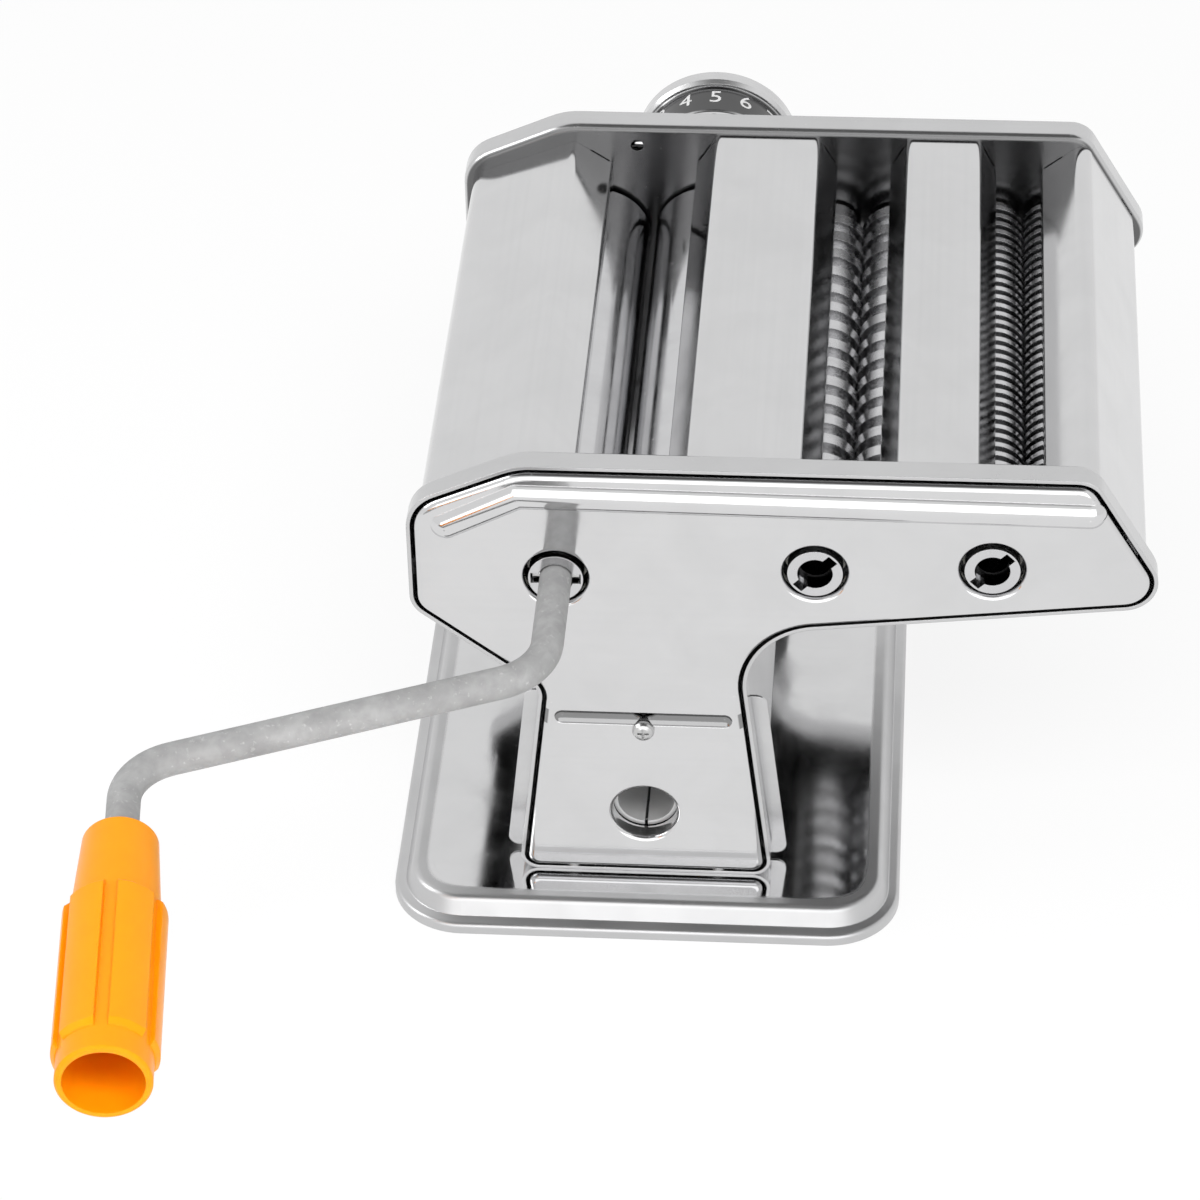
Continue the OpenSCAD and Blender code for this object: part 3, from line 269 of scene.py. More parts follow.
class StudioSettings(bpy.types.PropertyGroup):
    """Camera and lamps."""
    camera_place: FloatVectorProperty(
        name="Camera Place", description="Where the camera stands",
        subtype="TRANSLATION", unit="LENGTH", size=3, default=(0.0678, -1.0286, 0.8469))
    yaw: FloatProperty(
        name="Yaw", description="Turn to the left of straight back",
        subtype="ANGLE", unit="ROTATION", default=math.radians(4.78))
    pitch: FloatProperty(
        name="Pitch", description="Tilt above the horizon",
        subtype="ANGLE", unit="ROTATION", default=math.radians(-38.15))
    roll: FloatProperty(
        name="Roll", description="Turn about the line of sight",
        subtype="ANGLE", unit="ROTATION", default=math.radians(-1.29))
    lens: FloatProperty(
        name="Lens", description="Focal length on a 36 mm sensor, in millimetres",
        min=10.0, max=400.0, default=136.95)
    room_light: FloatProperty(
        name="Room Light", description="Level of the light from all round", min=0.0, max=2.0, default=0.55)
    sky_level: FloatProperty(
        name="Sky Level", description="Brightness of the room where it is seen, below its ceiling",
        min=0.0, max=2.0, default=0.94)
    ceiling_level: FloatProperty(
        name="Ceiling Level", description="Brightness of the ceiling where it is seen",
        min=0.0, max=2.0, default=0.12)
    floor_glow: FloatProperty(
        name="Floor Glow", description="How much of the floor's look is plain white instead of lit paint",
        subtype="FACTOR", min=0.0, max=1.0, default=0.85)
    key_watts: FloatProperty(
        name="Overhead Softbox", description="Power of the softbox above the front",
        unit="POWER", min=0.0, max=200.0, default=9.0)
    low_watts: FloatProperty(
        name="Low Front Softbox", description="Power of the low softbox before the machine",
        unit="POWER", min=0.0, max=200.0, default=7.2)
    side_watts: FloatProperty(
        name="Left Softbox", description="Power of the softbox at the left",
        unit="POWER", min=0.0, max=200.0, default=4.0)


# ---- Node helpers ----

def feed(tree, made, inputs):
    """Gives each of these inputs of a node, by name or number, an output to follow or a plain value."""
    for key, value in inputs.items():
        if isinstance(value, bpy.types.NodeSocket):
            tree.links.new(value, made.inputs[key])
        else:
            made.inputs[key].default_value = value
    return made


def node(tree, kind, inputs=None, **settings):
    """A new node with these inputs and properties."""
    made = tree.nodes.new(kind)
    for key, value in settings.items():
        setattr(made, key, value)
    return feed(tree, made, inputs or {})


def maths(tree, operation, *values):
    return node(tree, "ShaderNodeMath", dict(enumerate(values)), operation=operation).outputs[0]


def new_group(name, inputs, outputs, kind="ShaderNodeTree"):
    """A node group with named sockets: (tree, its input node, its output node)."""
    tree = bpy.data.node_groups.new(name, kind)
    for label, socket_type, value in inputs:
        socket = tree.interface.new_socket(label, in_out="INPUT", socket_type=socket_type)
        if value is not None:
            socket.default_value = value
    for label, socket_type in outputs:
        tree.interface.new_socket(label, in_out="OUTPUT", socket_type=socket_type)
    return tree, tree.nodes.new("NodeGroupInput"), tree.nodes.new("NodeGroupOutput")


def placed(tree, name, **values):
    """A shared shader group set in a material's tree, with its own values; underscores stand for spaces."""
    made = node(tree, "ShaderNodeGroup", node_tree=bpy.data.node_groups[name])
    return feed(tree, made, {key.replace("_", " "): value for key, value in values.items()})


def spread(tree, value, low, high, out_low=0.0, out_high=1.0):
    """value, passed from the range low to high to the range out_low to out_high and held within it."""
    return node(tree, "ShaderNodeMapRange", {"Value": value, "From Min": low, "From Max": high,
                                             "To Min": out_low, "To Max": out_high}, clamp=True).outputs[0]


def reached(tree, value, start, border):
    """0 to 1 as value crosses this border, measured from start."""
    return spread(tree, value, start + border[0], start + border[1])


def blended(tree, factor, first, second):
    """The first colour where factor is 0, and the second where it is 1."""
    made = node(tree, "ShaderNodeMix", data_type="RGBA")
    return feed(tree, made, {0: factor, 6: first, 7: second}).outputs[2]


def bumped(tree, height, depth, normal=None):
    """The normal bent by this height; a height of 1 is depth metres."""
    made = node(tree, "ShaderNodeBump", {"Strength": 1.0, "Distance": depth, "Height": height})
    return feed(tree, made, {} if normal is None else {"Normal": normal}).outputs[0]


def rgba(colour, by=1.0):
    return tuple(min(1.0, c * by) for c in colour) + (1.0,)


# ---- Shared surface effects ----

def make_grain_group():
    """Fine straight lines: noise stretched along one direction, at two widths."""
    tree, start, end = new_group(
        "Fine Lines",
        [("Vector", "NodeSocketVector", None),
         ("Lines Per Metre", "NodeSocketVector", (900.0, 9.0, 900.0))],
        [("Height", "NodeSocketFloat"), ("Mask", "NodeSocketFloat")])
    scaled = node(tree, "ShaderNodeVectorMath", {0: start.outputs[0], 1: start.outputs[1]},
                  operation="MULTIPLY")
    fine = node(tree, "ShaderNodeTexNoise", {"Vector": scaled.outputs[0], "Scale": 1.0, "Detail": 2.0,
                                             "Roughness": 0.6})
    broad = node(tree, "ShaderNodeTexNoise", {"Vector": scaled.outputs[0], "Scale": 0.21, "Detail": 1.0})
    height = maths(tree, "ADD", maths(tree, "MULTIPLY", fine.outputs[0], 0.6),
                   maths(tree, "MULTIPLY", broad.outputs[0], 0.9))
    tree.links.new(height, end.inputs[0])
    tree.links.new(spread(tree, fine.outputs[0], 0.45, 0.72), end.inputs[1])


def make_smudge_group():
    """Soft clouds from handling, and small specks."""
    tree, start, end = new_group(
        "Handling Marks",
        [("Vector", "NodeSocketVector", None), ("Cloud Size", "NodeSocketFloat", 0.02),
         ("Speck Size", "NodeSocketFloat", 0.0012)],
        [("Clouds", "NodeSocketFloat"), ("Specks", "NodeSocketFloat")])
    clouds = node(tree, "ShaderNodeTexNoise", {
        "Vector": start.outputs[0], "Scale": maths(tree, "DIVIDE", 1.0, start.outputs[1]),
        "Detail": 4.0, "Roughness": 0.55, "Distortion": 0.4})
    specks = node(tree, "ShaderNodeTexNoise", {
        "Vector": start.outputs[0], "Scale": maths(tree, "DIVIDE", 1.0, start.outputs[2]),
        "Detail": 2.0, "Roughness": 0.7})
    tree.links.new(spread(tree, clouds.outputs[0], 0.38, 0.68), end.inputs[0])
    tree.links.new(spread(tree, specks.outputs[0], 0.62, 0.78), end.inputs[1])


def make_edge_group():
    """Softened edges: the normal that rounds a corner, and a corner mask for wear and painted highlight."""
    tree, start, end = new_group(
        "Rubbed Edges", [("Edge Radius", "NodeSocketFloat", 0.0003)],
        [("Normal", "NodeSocketVector"), ("Mask", "NodeSocketFloat")])
    soft = node(tree, "ShaderNodeBevel", {"Radius": start.outputs[0]}, samples=4)
    shape = node(tree, "ShaderNodeNewGeometry")
    across = node(tree, "ShaderNodeVectorMath", {0: soft.outputs[0], 1: shape.outputs["Normal"]},
                  operation="DOT_PRODUCT")
    tree.links.new(soft.outputs[0], end.inputs[0])
    tree.links.new(spread(tree, across.outputs["Value"], 0.995, 0.85), end.inputs[1])


def make_axis_group():
    """Distance from an axis that runs along Y, and the place along it."""
    tree, start, end = new_group(
        "Round An Axis",
        [("Vector", "NodeSocketVector", None), ("Axis Place", "NodeSocketVector", (0.0, 0.0, 0.0))],
        [("Distance", "NodeSocketFloat"), ("Along", "NodeSocketFloat")])
    apart = node(tree, "ShaderNodeVectorMath", {0: start.outputs[0], 1: start.outputs[1]},
                 operation="SUBTRACT")
    flat = node(tree, "ShaderNodeVectorMath", {0: apart.outputs[0], 1: (1.0, 0.0, 1.0)},
                operation="MULTIPLY")
    reach = node(tree, "ShaderNodeVectorMath", {0: flat.outputs[0]}, operation="LENGTH")
    tree.links.new(reach.outputs["Value"], end.inputs[0])
    tree.links.new(node(tree, "ShaderNodeSeparateXYZ", {0: start.outputs[0]}).outputs[1], end.inputs[1])


def make_ripple_group():
    """Slow waves that bend the reflections in a pressed sheet."""
    tree, start, end = new_group(
        "Sheet Ripple", [("Vector", "NodeSocketVector", None), ("Wave Length", "NodeSocketFloat", 0.045)],
        [("Height", "NodeSocketFloat")])
    waves = node(tree, "ShaderNodeTexNoise", {
        "Vector": start.outputs[0], "Scale": maths(tree, "DIVIDE", 1.0, start.outputs[1]),
        "Detail": 1.0, "Roughness": 0.4})
    tree.links.new(waves.outputs[0], end.inputs[0])


# ---- Materials ----

def new_material(name):
    """An empty finish: the material, its tree, its shader and Object coordinates."""
    made = bpy.data.materials.new(name)
    made.use_nodes = True
    tree = made.node_tree
    tree.nodes.clear()
    shader = tree.nodes.new("ShaderNodeBsdfPrincipled")
    out = tree.nodes.new("ShaderNodeOutputMaterial")
    tree.links.new(shader.outputs[0], out.inputs[0])
    place = tree.nodes.new("ShaderNodeTexCoord").outputs["Object"]
    return made, tree, shader, place


def metal(name, colour, roughness, lines, depth, ripple=0.0, cloud=0.02, edge=0.0003, rub_and_highlight=0.1, dull=0.06,
          wave=0.045, lined=0.1):
    """Bare or plated metal: fine lines, handling clouds, slow ripple and worn edges with a painted highlight.

    depth is how deep the lines are, ripple and wave are the depth and length of the slow waves, cloud is the
    size of a handling cloud and edge the radius of an edge, all in metres. rub_and_highlight, dull and lined
    say how much the brighter edges (part wear, part painted highlight), the clouds and the lines show.
    """
    made, tree, shader, place = new_material(name)
    grain = placed(tree, "Fine Lines", Vector=place, Lines_Per_Metre=lines)
    marks = placed(tree, "Handling Marks", Vector=place, Cloud_Size=cloud)
    edges = placed(tree, "Rubbed Edges", Edge_Radius=edge)
    clean = blended(tree, marks.outputs["Clouds"], rgba(colour, CLEAN), rgba(colour, CLOUDED))
    scratches = maths(tree, "MULTIPLY", grain.outputs["Mask"], lined)
    # Edges get a brighter colour: part wear from rubbing, part painted highlight.
    corners = maths(tree, "MULTIPLY", edges.outputs["Mask"], rub_and_highlight)
    scored = blended(tree, scratches, clean, rgba(colour, SCORED))
    worn_and_highlit = blended(tree, corners, scored, rgba(colour, WORN_AND_HIGHLIT))
    blur = maths(tree, "MULTIPLY_ADD", marks.outputs["Clouds"], dull, roughness)
    blur = maths(tree, "MULTIPLY_ADD", marks.outputs["Specks"], dull, blur)
    normal = edges.outputs["Normal"]
    if ripple:
        waves = placed(tree, "Sheet Ripple", Vector=place, Wave_Length=wave)
        normal = bumped(tree, waves.outputs[0], ripple, normal)
    normal = bumped(tree, grain.outputs["Height"], depth, normal)
    feed(tree, shader, {"Base Color": worn_and_highlit, "Roughness": blur, "Metallic": 1.0, "Normal": normal})
    return made


def unplated(name, colours, roughness, speck_blur, cloud, speck, depth=0.0, edge=0.0):
    """Plastic, rubber or paint: two tints in clouds, and specks that are duller and raised by depth."""
    made, tree, shader, place = new_material(name)
    marks = placed(tree, "Handling Marks", Vector=place, Cloud_Size=cloud, Speck_Size=speck)
    feed(tree, shader, {
        "Base Color": blended(tree, marks.outputs["Clouds"], *colours),
        "Roughness": maths(tree, "MULTIPLY_ADD", marks.outputs["Specks"], speck_blur, roughness)})
    normal = placed(tree, "Rubbed Edges", Edge_Radius=edge).outputs["Normal"] if edge else None
    if depth:
        feed(tree, shader, {"Normal": bumped(tree, marks.outputs["Specks"], depth, normal)})
    return made


def shader_of(made):
    return made.node_tree.nodes["Principled BSDF"]


def place_of(made):
    """A finish's tree, and the X, Y and Z of its Object coordinates."""
    tree = made.node_tree
    place = tree.nodes["Texture Coordinate"].outputs["Object"]
    return tree, node(tree, "ShaderNodeSeparateXYZ", {0: place}).outputs


def darkened(made, mask, share):
    """Lowers a metal's colour to this share of it where the mask is 1."""
    tree = made.node_tree
    colour = shader_of(made).inputs["Base Color"]
    full = colour.links[0].from_socket
    level = spread(tree, mask, 0.0, 1.0, 1.0, share)
    scaled = node(tree, "ShaderNodeVectorMath", {0: full, "Scale": level}, operation="SCALE")
    tree.links.new(scaled.outputs[0], colour)


def around_axis(made, name):
    """Distance from a turned piece's axis, the place along it, and the piece's largest radius."""
    tree = made.node_tree
    low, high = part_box(name)
    where = placed(tree, "Round An Axis", Vector=tree.nodes["Texture Coordinate"].outputs["Object"],
                   Axis_Place=tuple((low + high) / 2))
    return where.outputs["Distance"], where.outputs["Along"], (high.z - low.z) / 2


def finish_nodes(names, material):
    """The finish in every material slot of these pieces."""
    for name in names:
        for slot in NODES[name].material_slots:
            slot.material = material


class PASTA_OT_surface_effects(bpy.types.Operator):
    """Build the surface effects that the finishes share"""
    bl_idname = "pasta.surface_effects"
    bl_label = "Surface Effects"

    def execute(self, context):
        make_grain_group()
        make_smudge_group()
        make_edge_group()
        make_axis_group()
        make_ripple_group()
        return {"FINISHED"}


class PASTA_OT_sheets(bpy.types.Operator):
    """Polish the covers, the side frames, the leg and the pressed base"""
    bl_idname = "pasta.sheets"
    bl_label = "Polished Sheets"

    def execute(self, context):
        look = context.scene.pasta_sheet
        satin = (look.frame_colour, look.satin_roughness, ALONG_X, look.grain_depth,
                 look.ripple_depth * SATIN_RIPPLE)
        top = self.polished("Polished Top Sheet", look, TOP_SHARES, ALONG_Y)
        side = self.polished("Polished Side Sheet", look, SIDE_SHARES, ALONG_X, lined=0.05)
        folded = metal("Satin Frame Sheet", *satin)
        tray = self.polished("Pressed Base Sheet", look, TRAY_SHARES, TRAY_LINES, wave=0.06, lined=0.03)
        self.paint_inner_shade(folded, look)
        self.shade_groove(side, look)
        self.dull_skirt(tray, look)
        finish_nodes(TOP_SHEETS, top)
        finish_nodes(SIDE_SHEETS, side)
        finish_nodes(FRAME_SHEETS, folded)
        finish_nodes(["base_plate"], tray)
        finish_nodes(["leg_side_panels"], metal("Satin Leg Panel", *satin))
        return {"FINISHED"}

    def polished(self, name, look, shares, lines, **settings):
        """Polished sheet whose blur, grain and ripple are these shares of the sheet finish's."""
        blur, grain, ripple = shares
        return metal(name, look.colour, look.roughness * blur, lines, look.grain_depth * grain,
                     look.ripple_depth * ripple, **settings)

    def paint_inner_shade(self, made, look):
        """The side frames' faces toward the rollers, painted darker than their outer faces as shade."""
        tree, place = place_of(made)
        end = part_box("drive_roller")[1].y
        darkened(made, reached(tree, maths(tree, "ABSOLUTE", place[1]), end, INNER_SHADE_BORDER), look.inner_shade_share)

    def shade_groove(self, made, look):
        """The pressed groove just above each cover's screw, painted darker than the flat sheet as shade in
        its hollow.
        """
        tree, place = place_of(made)
        low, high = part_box("cover_screws")
        level = (low.z + high.z) / 2 + look.groove_rise
        apart = maths(tree, "ABSOLUTE", maths(tree, "SUBTRACT", place[2], level))
        flat = -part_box("wide_cutter_driven")[0].y
        sunk = reached(tree, maths(tree, "ABSOLUTE", place[1]), flat, GROOVE_DEPTH)
        groove = maths(tree, "MULTIPLY", sunk, reached(tree, apart, 0.0, COVER_GROOVE))
        darkened(made, groove, look.groove_shade_share)

    def dull_skirt(self, made, look):
        """The tray's stepped skirt, duller and darker than its polished floor."""
        tree, place = place_of(made)
        shader = shader_of(made)
        low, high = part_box("base_plate")
        gaps = []
        for number in (0, 1):
            middle, half = (low[number] + high[number]) / 2, (high[number] - low[number]) / 2
            apart = maths(tree, "ABSOLUTE", maths(tree, "SUBTRACT", place[number], middle))
            gaps.append(maths(tree, "SUBTRACT", half, apart))
        nearest = maths(tree, "SMOOTH_MIN", *gaps, CORNER_ROUNDING)
        skirt = reached(tree, nearest, look.skirt_width, TRAY_SKIRT)
        blur = shader.inputs["Roughness"].links[0].from_socket
        feed(tree, shader, {"Roughness": maths(tree, "MULTIPLY_ADD", skirt, look.skirt_blur, blur)})
        darkened(made, skirt, look.skirt_share)


class PASTA_OT_rollers(bpy.types.Operator):
    """Grind the smooth rollers, turn the cutters and finish the combs behind them"""
    bl_idname = "pasta.rollers"
    bl_label = "Rollers And Cutters"

    def execute(self, context):
        look = context.scene.pasta_roller
        ground = metal("Ground Roller", look.roller_colour, look.roller_roughness, ROLLER_LINES, depth=8e-7,
                       cloud=0.012, dull=0.1)
        # Dark comb colour: painted shade in the cutters' gaps.
        combs = metal("Comb Steel", look.comb_shade_colour, roughness=0.34, lines=COMB_LINES, depth=1.5e-6,
                      cloud=0.008)
        self.shade_socket(ground, "drive_roller", look.socket_shade_share)
        finish_nodes(ROLLERS, ground)
        finish_nodes(COMBS, combs)
        for name in CUTTERS:
            share = look.wide_groove_shade_share if name.startswith("wide") else look.narrow_groove_shade_share
            self.turn_cutter(name, look, share)
        return {"FINISHED"}

    def turn_cutter(self, name, look, groove_shade_share):
        """Bright lands, grooves painted darker as shade and a socket painted dark as shade, in one cutter."""
        made = metal("Turned " + name, look.roller_colour, look.cutter_roughness, CUTTER_LINES, depth=1.5e-6,
                     cloud=0.006, edge=0.00015, rub_and_highlight=0.5, dull=0.12)
        tree = made.node_tree
        distance, along, radius = around_axis(made, name)
        # Painted shade in the grooves between the lands.
        deep = reached(tree, distance, radius, CUTTER_GROOVE)
        between = reached(tree, maths(tree, "ABSOLUTE", along), 0.0, CUTTER_LENGTH)
        darkened(made, maths(tree, "MULTIPLY", deep, between), groove_shade_share)
        self.shade_socket(made, name, look.socket_shade_share)
        finish_nodes([name], made)

    def shade_socket(self, made, name, share):
        """The inside of a shaft's socket, painted black as shade, behind its bright mouth."""
        tree = made.node_tree
        distance, along, _ = around_axis(made, name)
        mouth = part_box("wide_cutter_driven")[0].y
        bore = maths(tree, "MULTIPLY", reached(tree, distance, 0.0, SOCKET_BORE),
                     reached(tree, along, mouth, SOCKET_MOUTH))
        darkened(made, maths(tree, "MULTIPLY", bore, reached(tree, along, mouth, SOCKET_END)), share)


class PASTA_OT_fittings(bpy.types.Operator):
    """Finish rods, nuts, screws, rivets, gears, bushes and the clamp sleeve"""
    bl_idname = "pasta.fittings"
    bl_label = "Fittings And Gears"

    def execute(self, context):
        look = context.scene.pasta_roller
        plated = metal("Plated Fitting", look.fitting_colour, roughness=0.24, lines=FITTING_LINES, depth=2e-6,
                       cloud=0.006, rub_and_highlight=0.5)
        brass = metal("Cut Brass", BRASS, roughness=0.3, lines=GEAR_LINES, depth=3e-6, cloud=0.006,
                      edge=0.00015, rub_and_highlight=0.6)
        sleeve = metal("Zinc Sleeve", ZINC, roughness=0.34, lines=FITTING_LINES, depth=2e-6, cloud=0.006)
        feed(sleeve.node_tree, shader_of(sleeve), {"Metallic": 0.45})
        nylon = unplated("Natural Nylon", NYLON, roughness=0.38, speck_blur=0.12, cloud=0.005, speck=0.0008,
                         depth=8e-6)
        finish_nodes(FASTENERS + DIAL_WORKS + ["crank_pin", "grip_retainer"], plated)
        finish_nodes(["clamp_sleeve"], sleeve)
        finish_nodes(GEARS, brass)
        finish_nodes(BUSHES, nylon)
        return {"FINISHED"}


class PASTA_OT_feet(bpy.types.Operator):
    """Make the feet matte black rubber"""
    bl_idname = "pasta.feet"
    bl_label = "Rubber Feet"

    def execute(self, context):
        rubber = unplated("Foot Rubber", RUBBER, roughness=0.62, speck_blur=0.2, cloud=0.006, speck=0.0006,
                          depth=2e-5)
        finish_nodes(["rubber_feet"], rubber)
        return {"FINISHED"}


class PASTA_OT_crank(bpy.types.Operator):
    """Give the crank rod its blotched dull plating"""
    bl_idname = "pasta.crank"
    bl_label = "Crank Rod"

    def execute(self, context):
        look = context.scene.pasta_crank
        made, tree, shader, place = new_material("Dull Plated Rod")
        blotches = placed(tree, "Handling Marks", Vector=place, Cloud_Size=0.011, Speck_Size=0.0018)
        fine = placed(tree, "Handling Marks", Vector=place, Cloud_Size=0.0035, Speck_Size=0.0007)
        base = blended(tree, blotches.outputs["Clouds"], rgba(look.rod_colour, ROD_LIGHT),
                       rgba(look.rod_colour, ROD_DARK))
        base = blended(tree, maths(tree, "MULTIPLY", fine.outputs["Clouds"], 0.5), base,
                       rgba(look.rod_colour, ROD_STAIN))
        base = blended(tree, maths(tree, "MULTIPLY", blotches.outputs["Specks"], 0.55), base,
                       rgba(look.rod_colour, ROD_WORN))
        blur = maths(tree, "MULTIPLY_ADD", blotches.outputs["Specks"], -0.2, look.rod_roughness)
        blur = maths(tree, "MULTIPLY_ADD", fine.outputs["Clouds"], 0.12, blur)
        feed(tree, shader, {"Base Color": base, "Metallic": 0.3, "Roughness": blur,
                            "Normal": bumped(tree, fine.outputs["Clouds"], 3e-5)})
        finish_nodes(["crank_rod"], made)
        return {"FINISHED"}


class PASTA_OT_grip(bpy.types.Operator):
    """Give the grip its moulded orange plastic"""
    bl_idname = "pasta.grip"
    bl_label = "Grip"

    def execute(self, context):
        colour = context.scene.pasta_crank.grip_colour
        made = unplated("Moulded Grip", (rgba(colour), rgba(colour, 0.95)), roughness=0.3, speck_blur=0.1,
                        cloud=0.025, speck=0.0009, depth=1e-5, edge=0.0006)
        feed(made.node_tree, shader_of(made), {
            "Specular IOR Level": 0.2, "Subsurface Weight": 0.25,
            "Subsurface Radius": (1.0, 0.35, 0.05), "Subsurface Scale": 0.004})
        finish_nodes(["grip"], made)
        return {"FINISHED"}


# ---- Dial ----

def make_numeral_tree(material):
    """Geometry Nodes: numerals set one by one round a band, wrapped on it and given a thickness."""
    tree, start, end = new_group(
        "Dial Numerals",
        [("Numerals", "NodeSocketInt", 9), ("Number At Top", "NodeSocketInt", 5),
         ("Step", "NodeSocketFloat", math.radians(24)), ("Numeral Height", "NodeSocketFloat", 0.0084),
         ("Band Radius", "NodeSocketFloat", 0.0218), ("Raised", "NodeSocketFloat", 4e-5),
         ("Band Centre", "NodeSocketVector", (0.0, 0.0, 0.0))],
        [("Geometry", "NodeSocketGeometry")], "GeometryNodeTree")
    value = start.outputs
    opened = tree.nodes.new("GeometryNodeRepeatInput")
    closed = tree.nodes.new("GeometryNodeRepeatOutput")
    opened.pair_with_output(closed)
    tree.links.new(value["Numerals"], opened.inputs["Iterations"])
    number = maths(tree, "ADD", opened.outputs["Iteration"], 1.0)
    text = node(tree, "FunctionNodeValueToString", {0: number})
    letters = node(tree, "GeometryNodeStringToCurves",
                   {"String": text.outputs[0], "Size": value["Numeral Height"]},
                   align_x="CENTER", align_y="MIDDLE")
    real = node(tree, "GeometryNodeRealizeInstances", {0: letters.outputs[0]})
    filled = node(tree, "GeometryNodeFillCurve", {0: real.outputs[0]})
    fine = node(tree, "GeometryNodeSubdivideMesh", {"Mesh": filled.outputs[0], "Level": 2})
    pushed = node(tree, "GeometryNodeExtrudeMesh", {
        "Mesh": fine.outputs[0], "Offset Scale": value["Raised"], "Individual": False})
    under = node(tree, "GeometryNodeFlipFaces", {0: fine.outputs[0]})
    both = tree.nodes.new("GeometryNodeJoinGeometry")
    tree.links.new(pushed.outputs[0], both.inputs[0])
    tree.links.new(under.outputs[0], both.inputs[0])
    solid = node(tree, "GeometryNodeMergeByDistance", {"Geometry": both.outputs[0], "Distance": 1e-7})
    spot = node(tree, "ShaderNodeSeparateXYZ", {0: tree.nodes.new("GeometryNodeInputPosition").outputs[0]})
    turn = maths(tree, "MULTIPLY", maths(tree, "SUBTRACT", number, value["Number At Top"]), value["Step"])
    angle = maths(tree, "ADD", turn, maths(tree, "DIVIDE", spot.outputs[0], value["Band Radius"]))
    reach = maths(tree, "ADD", value["Band Radius"], spot.outputs[2])
    wrapped = node(tree, "ShaderNodeCombineXYZ", {
        0: maths(tree, "MULTIPLY", reach, maths(tree, "SINE", angle)),
        1: spot.outputs[1],
        2: maths(tree, "MULTIPLY", reach, maths(tree, "COSINE", angle))})
    there = node(tree, "ShaderNodeVectorMath", {0: wrapped.outputs[0], 1: value["Band Centre"]},
                 operation="ADD")
    bent = node(tree, "GeometryNodeSetPosition", {
        "Geometry": solid.outputs[0], "Position": there.outputs[0]})
    gathered = tree.nodes.new("GeometryNodeJoinGeometry")
    tree.links.new(bent.outputs[0], gathered.inputs[0])
    tree.links.new(opened.outputs["Geometry"], gathered.inputs[0])
    tree.links.new(gathered.outputs[0], closed.inputs["Geometry"])
    whole = node(tree, "GeometryNodeRealizeInstances", {0: closed.outputs["Geometry"]})
    painted = node(tree, "GeometryNodeSetMaterial", {"Geometry": whole.outputs[0], "Material": material})
    tree.links.new(painted.outputs[0], end.inputs[0])
    return tree


def built(name, tree, values):
    """An object at the origin with the plain mesh that a Geometry Nodes tree makes from these values."""
    host = bpy.data.objects.new(name + "_host", bpy.data.meshes.new(name + "_host"))
    bpy.context.scene.collection.objects.link(host)
    modifier = host.modifiers.new("Build", "NODES")
    modifier.node_group = tree
    for item in tree.interface.items_tree:
        if item.in_out == "INPUT" and item.name in values:
            modifier[item.identifier] = values[item.name]
    host.update_tag()
    bpy.context.view_layer.update()
    graph = bpy.context.evaluated_depsgraph_get()
    mesh = bpy.data.meshes.new_from_object(host.evaluated_get(graph))
    mesh.name = name
    bpy.data.objects.remove(host)
    if not mesh.polygons:
        raise RuntimeError(f"{name}: the tree made no faces")
    made = bpy.data.objects.new(name, mesh)
    bpy.context.scene.collection.objects.link(made)
    return made


def make_coil_tree(material):
    """Geometry Nodes: a round wire wound in a spiral along Y, with closed ends."""
    tree, start, end = new_group(
        "Coil Spring",
        [("Turns", "NodeSocketFloat", 3.0), ("Coil Radius", "NodeSocketFloat", 0.01),
         ("Wire Radius", "NodeSocketFloat", 0.0005), ("Length", "NodeSocketFloat", 0.01),
         ("Start Point", "NodeSocketVector", (0.0, 0.0, 0.0))],
        [("Geometry", "NodeSocketGeometry")], "GeometryNodeTree")
    value = start.outputs
    line = node(tree, "GeometryNodeCurveSpiral", {
        "Resolution": 48, "Rotations": value["Turns"], "Start Radius": value["Coil Radius"],
        "End Radius": value["Coil Radius"], "Height": value["Length"]})
    wire = node(tree, "GeometryNodeCurvePrimitiveCircle", {
        "Resolution": 12, "Radius": value["Wire Radius"]})
    swept = node(tree, "GeometryNodeCurveToMesh", {
        "Curve": line.outputs[0], "Profile Curve": wire.outputs[0], "Fill Caps": True})
    laid = node(tree, "GeometryNodeTransform", {
        "Geometry": swept.outputs[0], "Translation": value["Start Point"],
        "Rotation": (math.radians(-90.0), 0.0, 0.0)})
    smooth = node(tree, "GeometryNodeSetShadeSmooth", {"Geometry": laid.outputs[0]})
    whole = node(tree, "GeometryNodeRealizeInstances", {0: smooth.outputs[0]})
    painted = node(tree, "GeometryNodeSetMaterial", {"Geometry": whole.outputs[0], "Material": material})
    tree.links.new(painted.outputs[0], end.inputs[0])
    return tree


class PASTA_OT_dial_spring(bpy.types.Operator):
    """Wind the dial's spring"""
    bl_idname = "pasta.dial_spring"
    bl_label = "Dial Spring"

    def execute(self, context):
        spring = context.scene.pasta_spring
        low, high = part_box("dial_spring")
        wire = spring.wire_radius
        coil = built("dial_spring_coil", make_coil_tree(bpy.data.materials["Plated Fitting"]), {
            "Turns": spring.turns, "Coil Radius": (high.z - low.z) / 2 - wire, "Wire Radius": wire,
            "Length": high.y - low.y - 2 * wire,
            "Start Point": ((low.x + high.x) / 2, low.y + wire, (low.z + high.z) / 2)})
        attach(coil, "eccentric")
        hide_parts("dial_spring")
        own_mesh(coil)
        return {"FINISHED"}


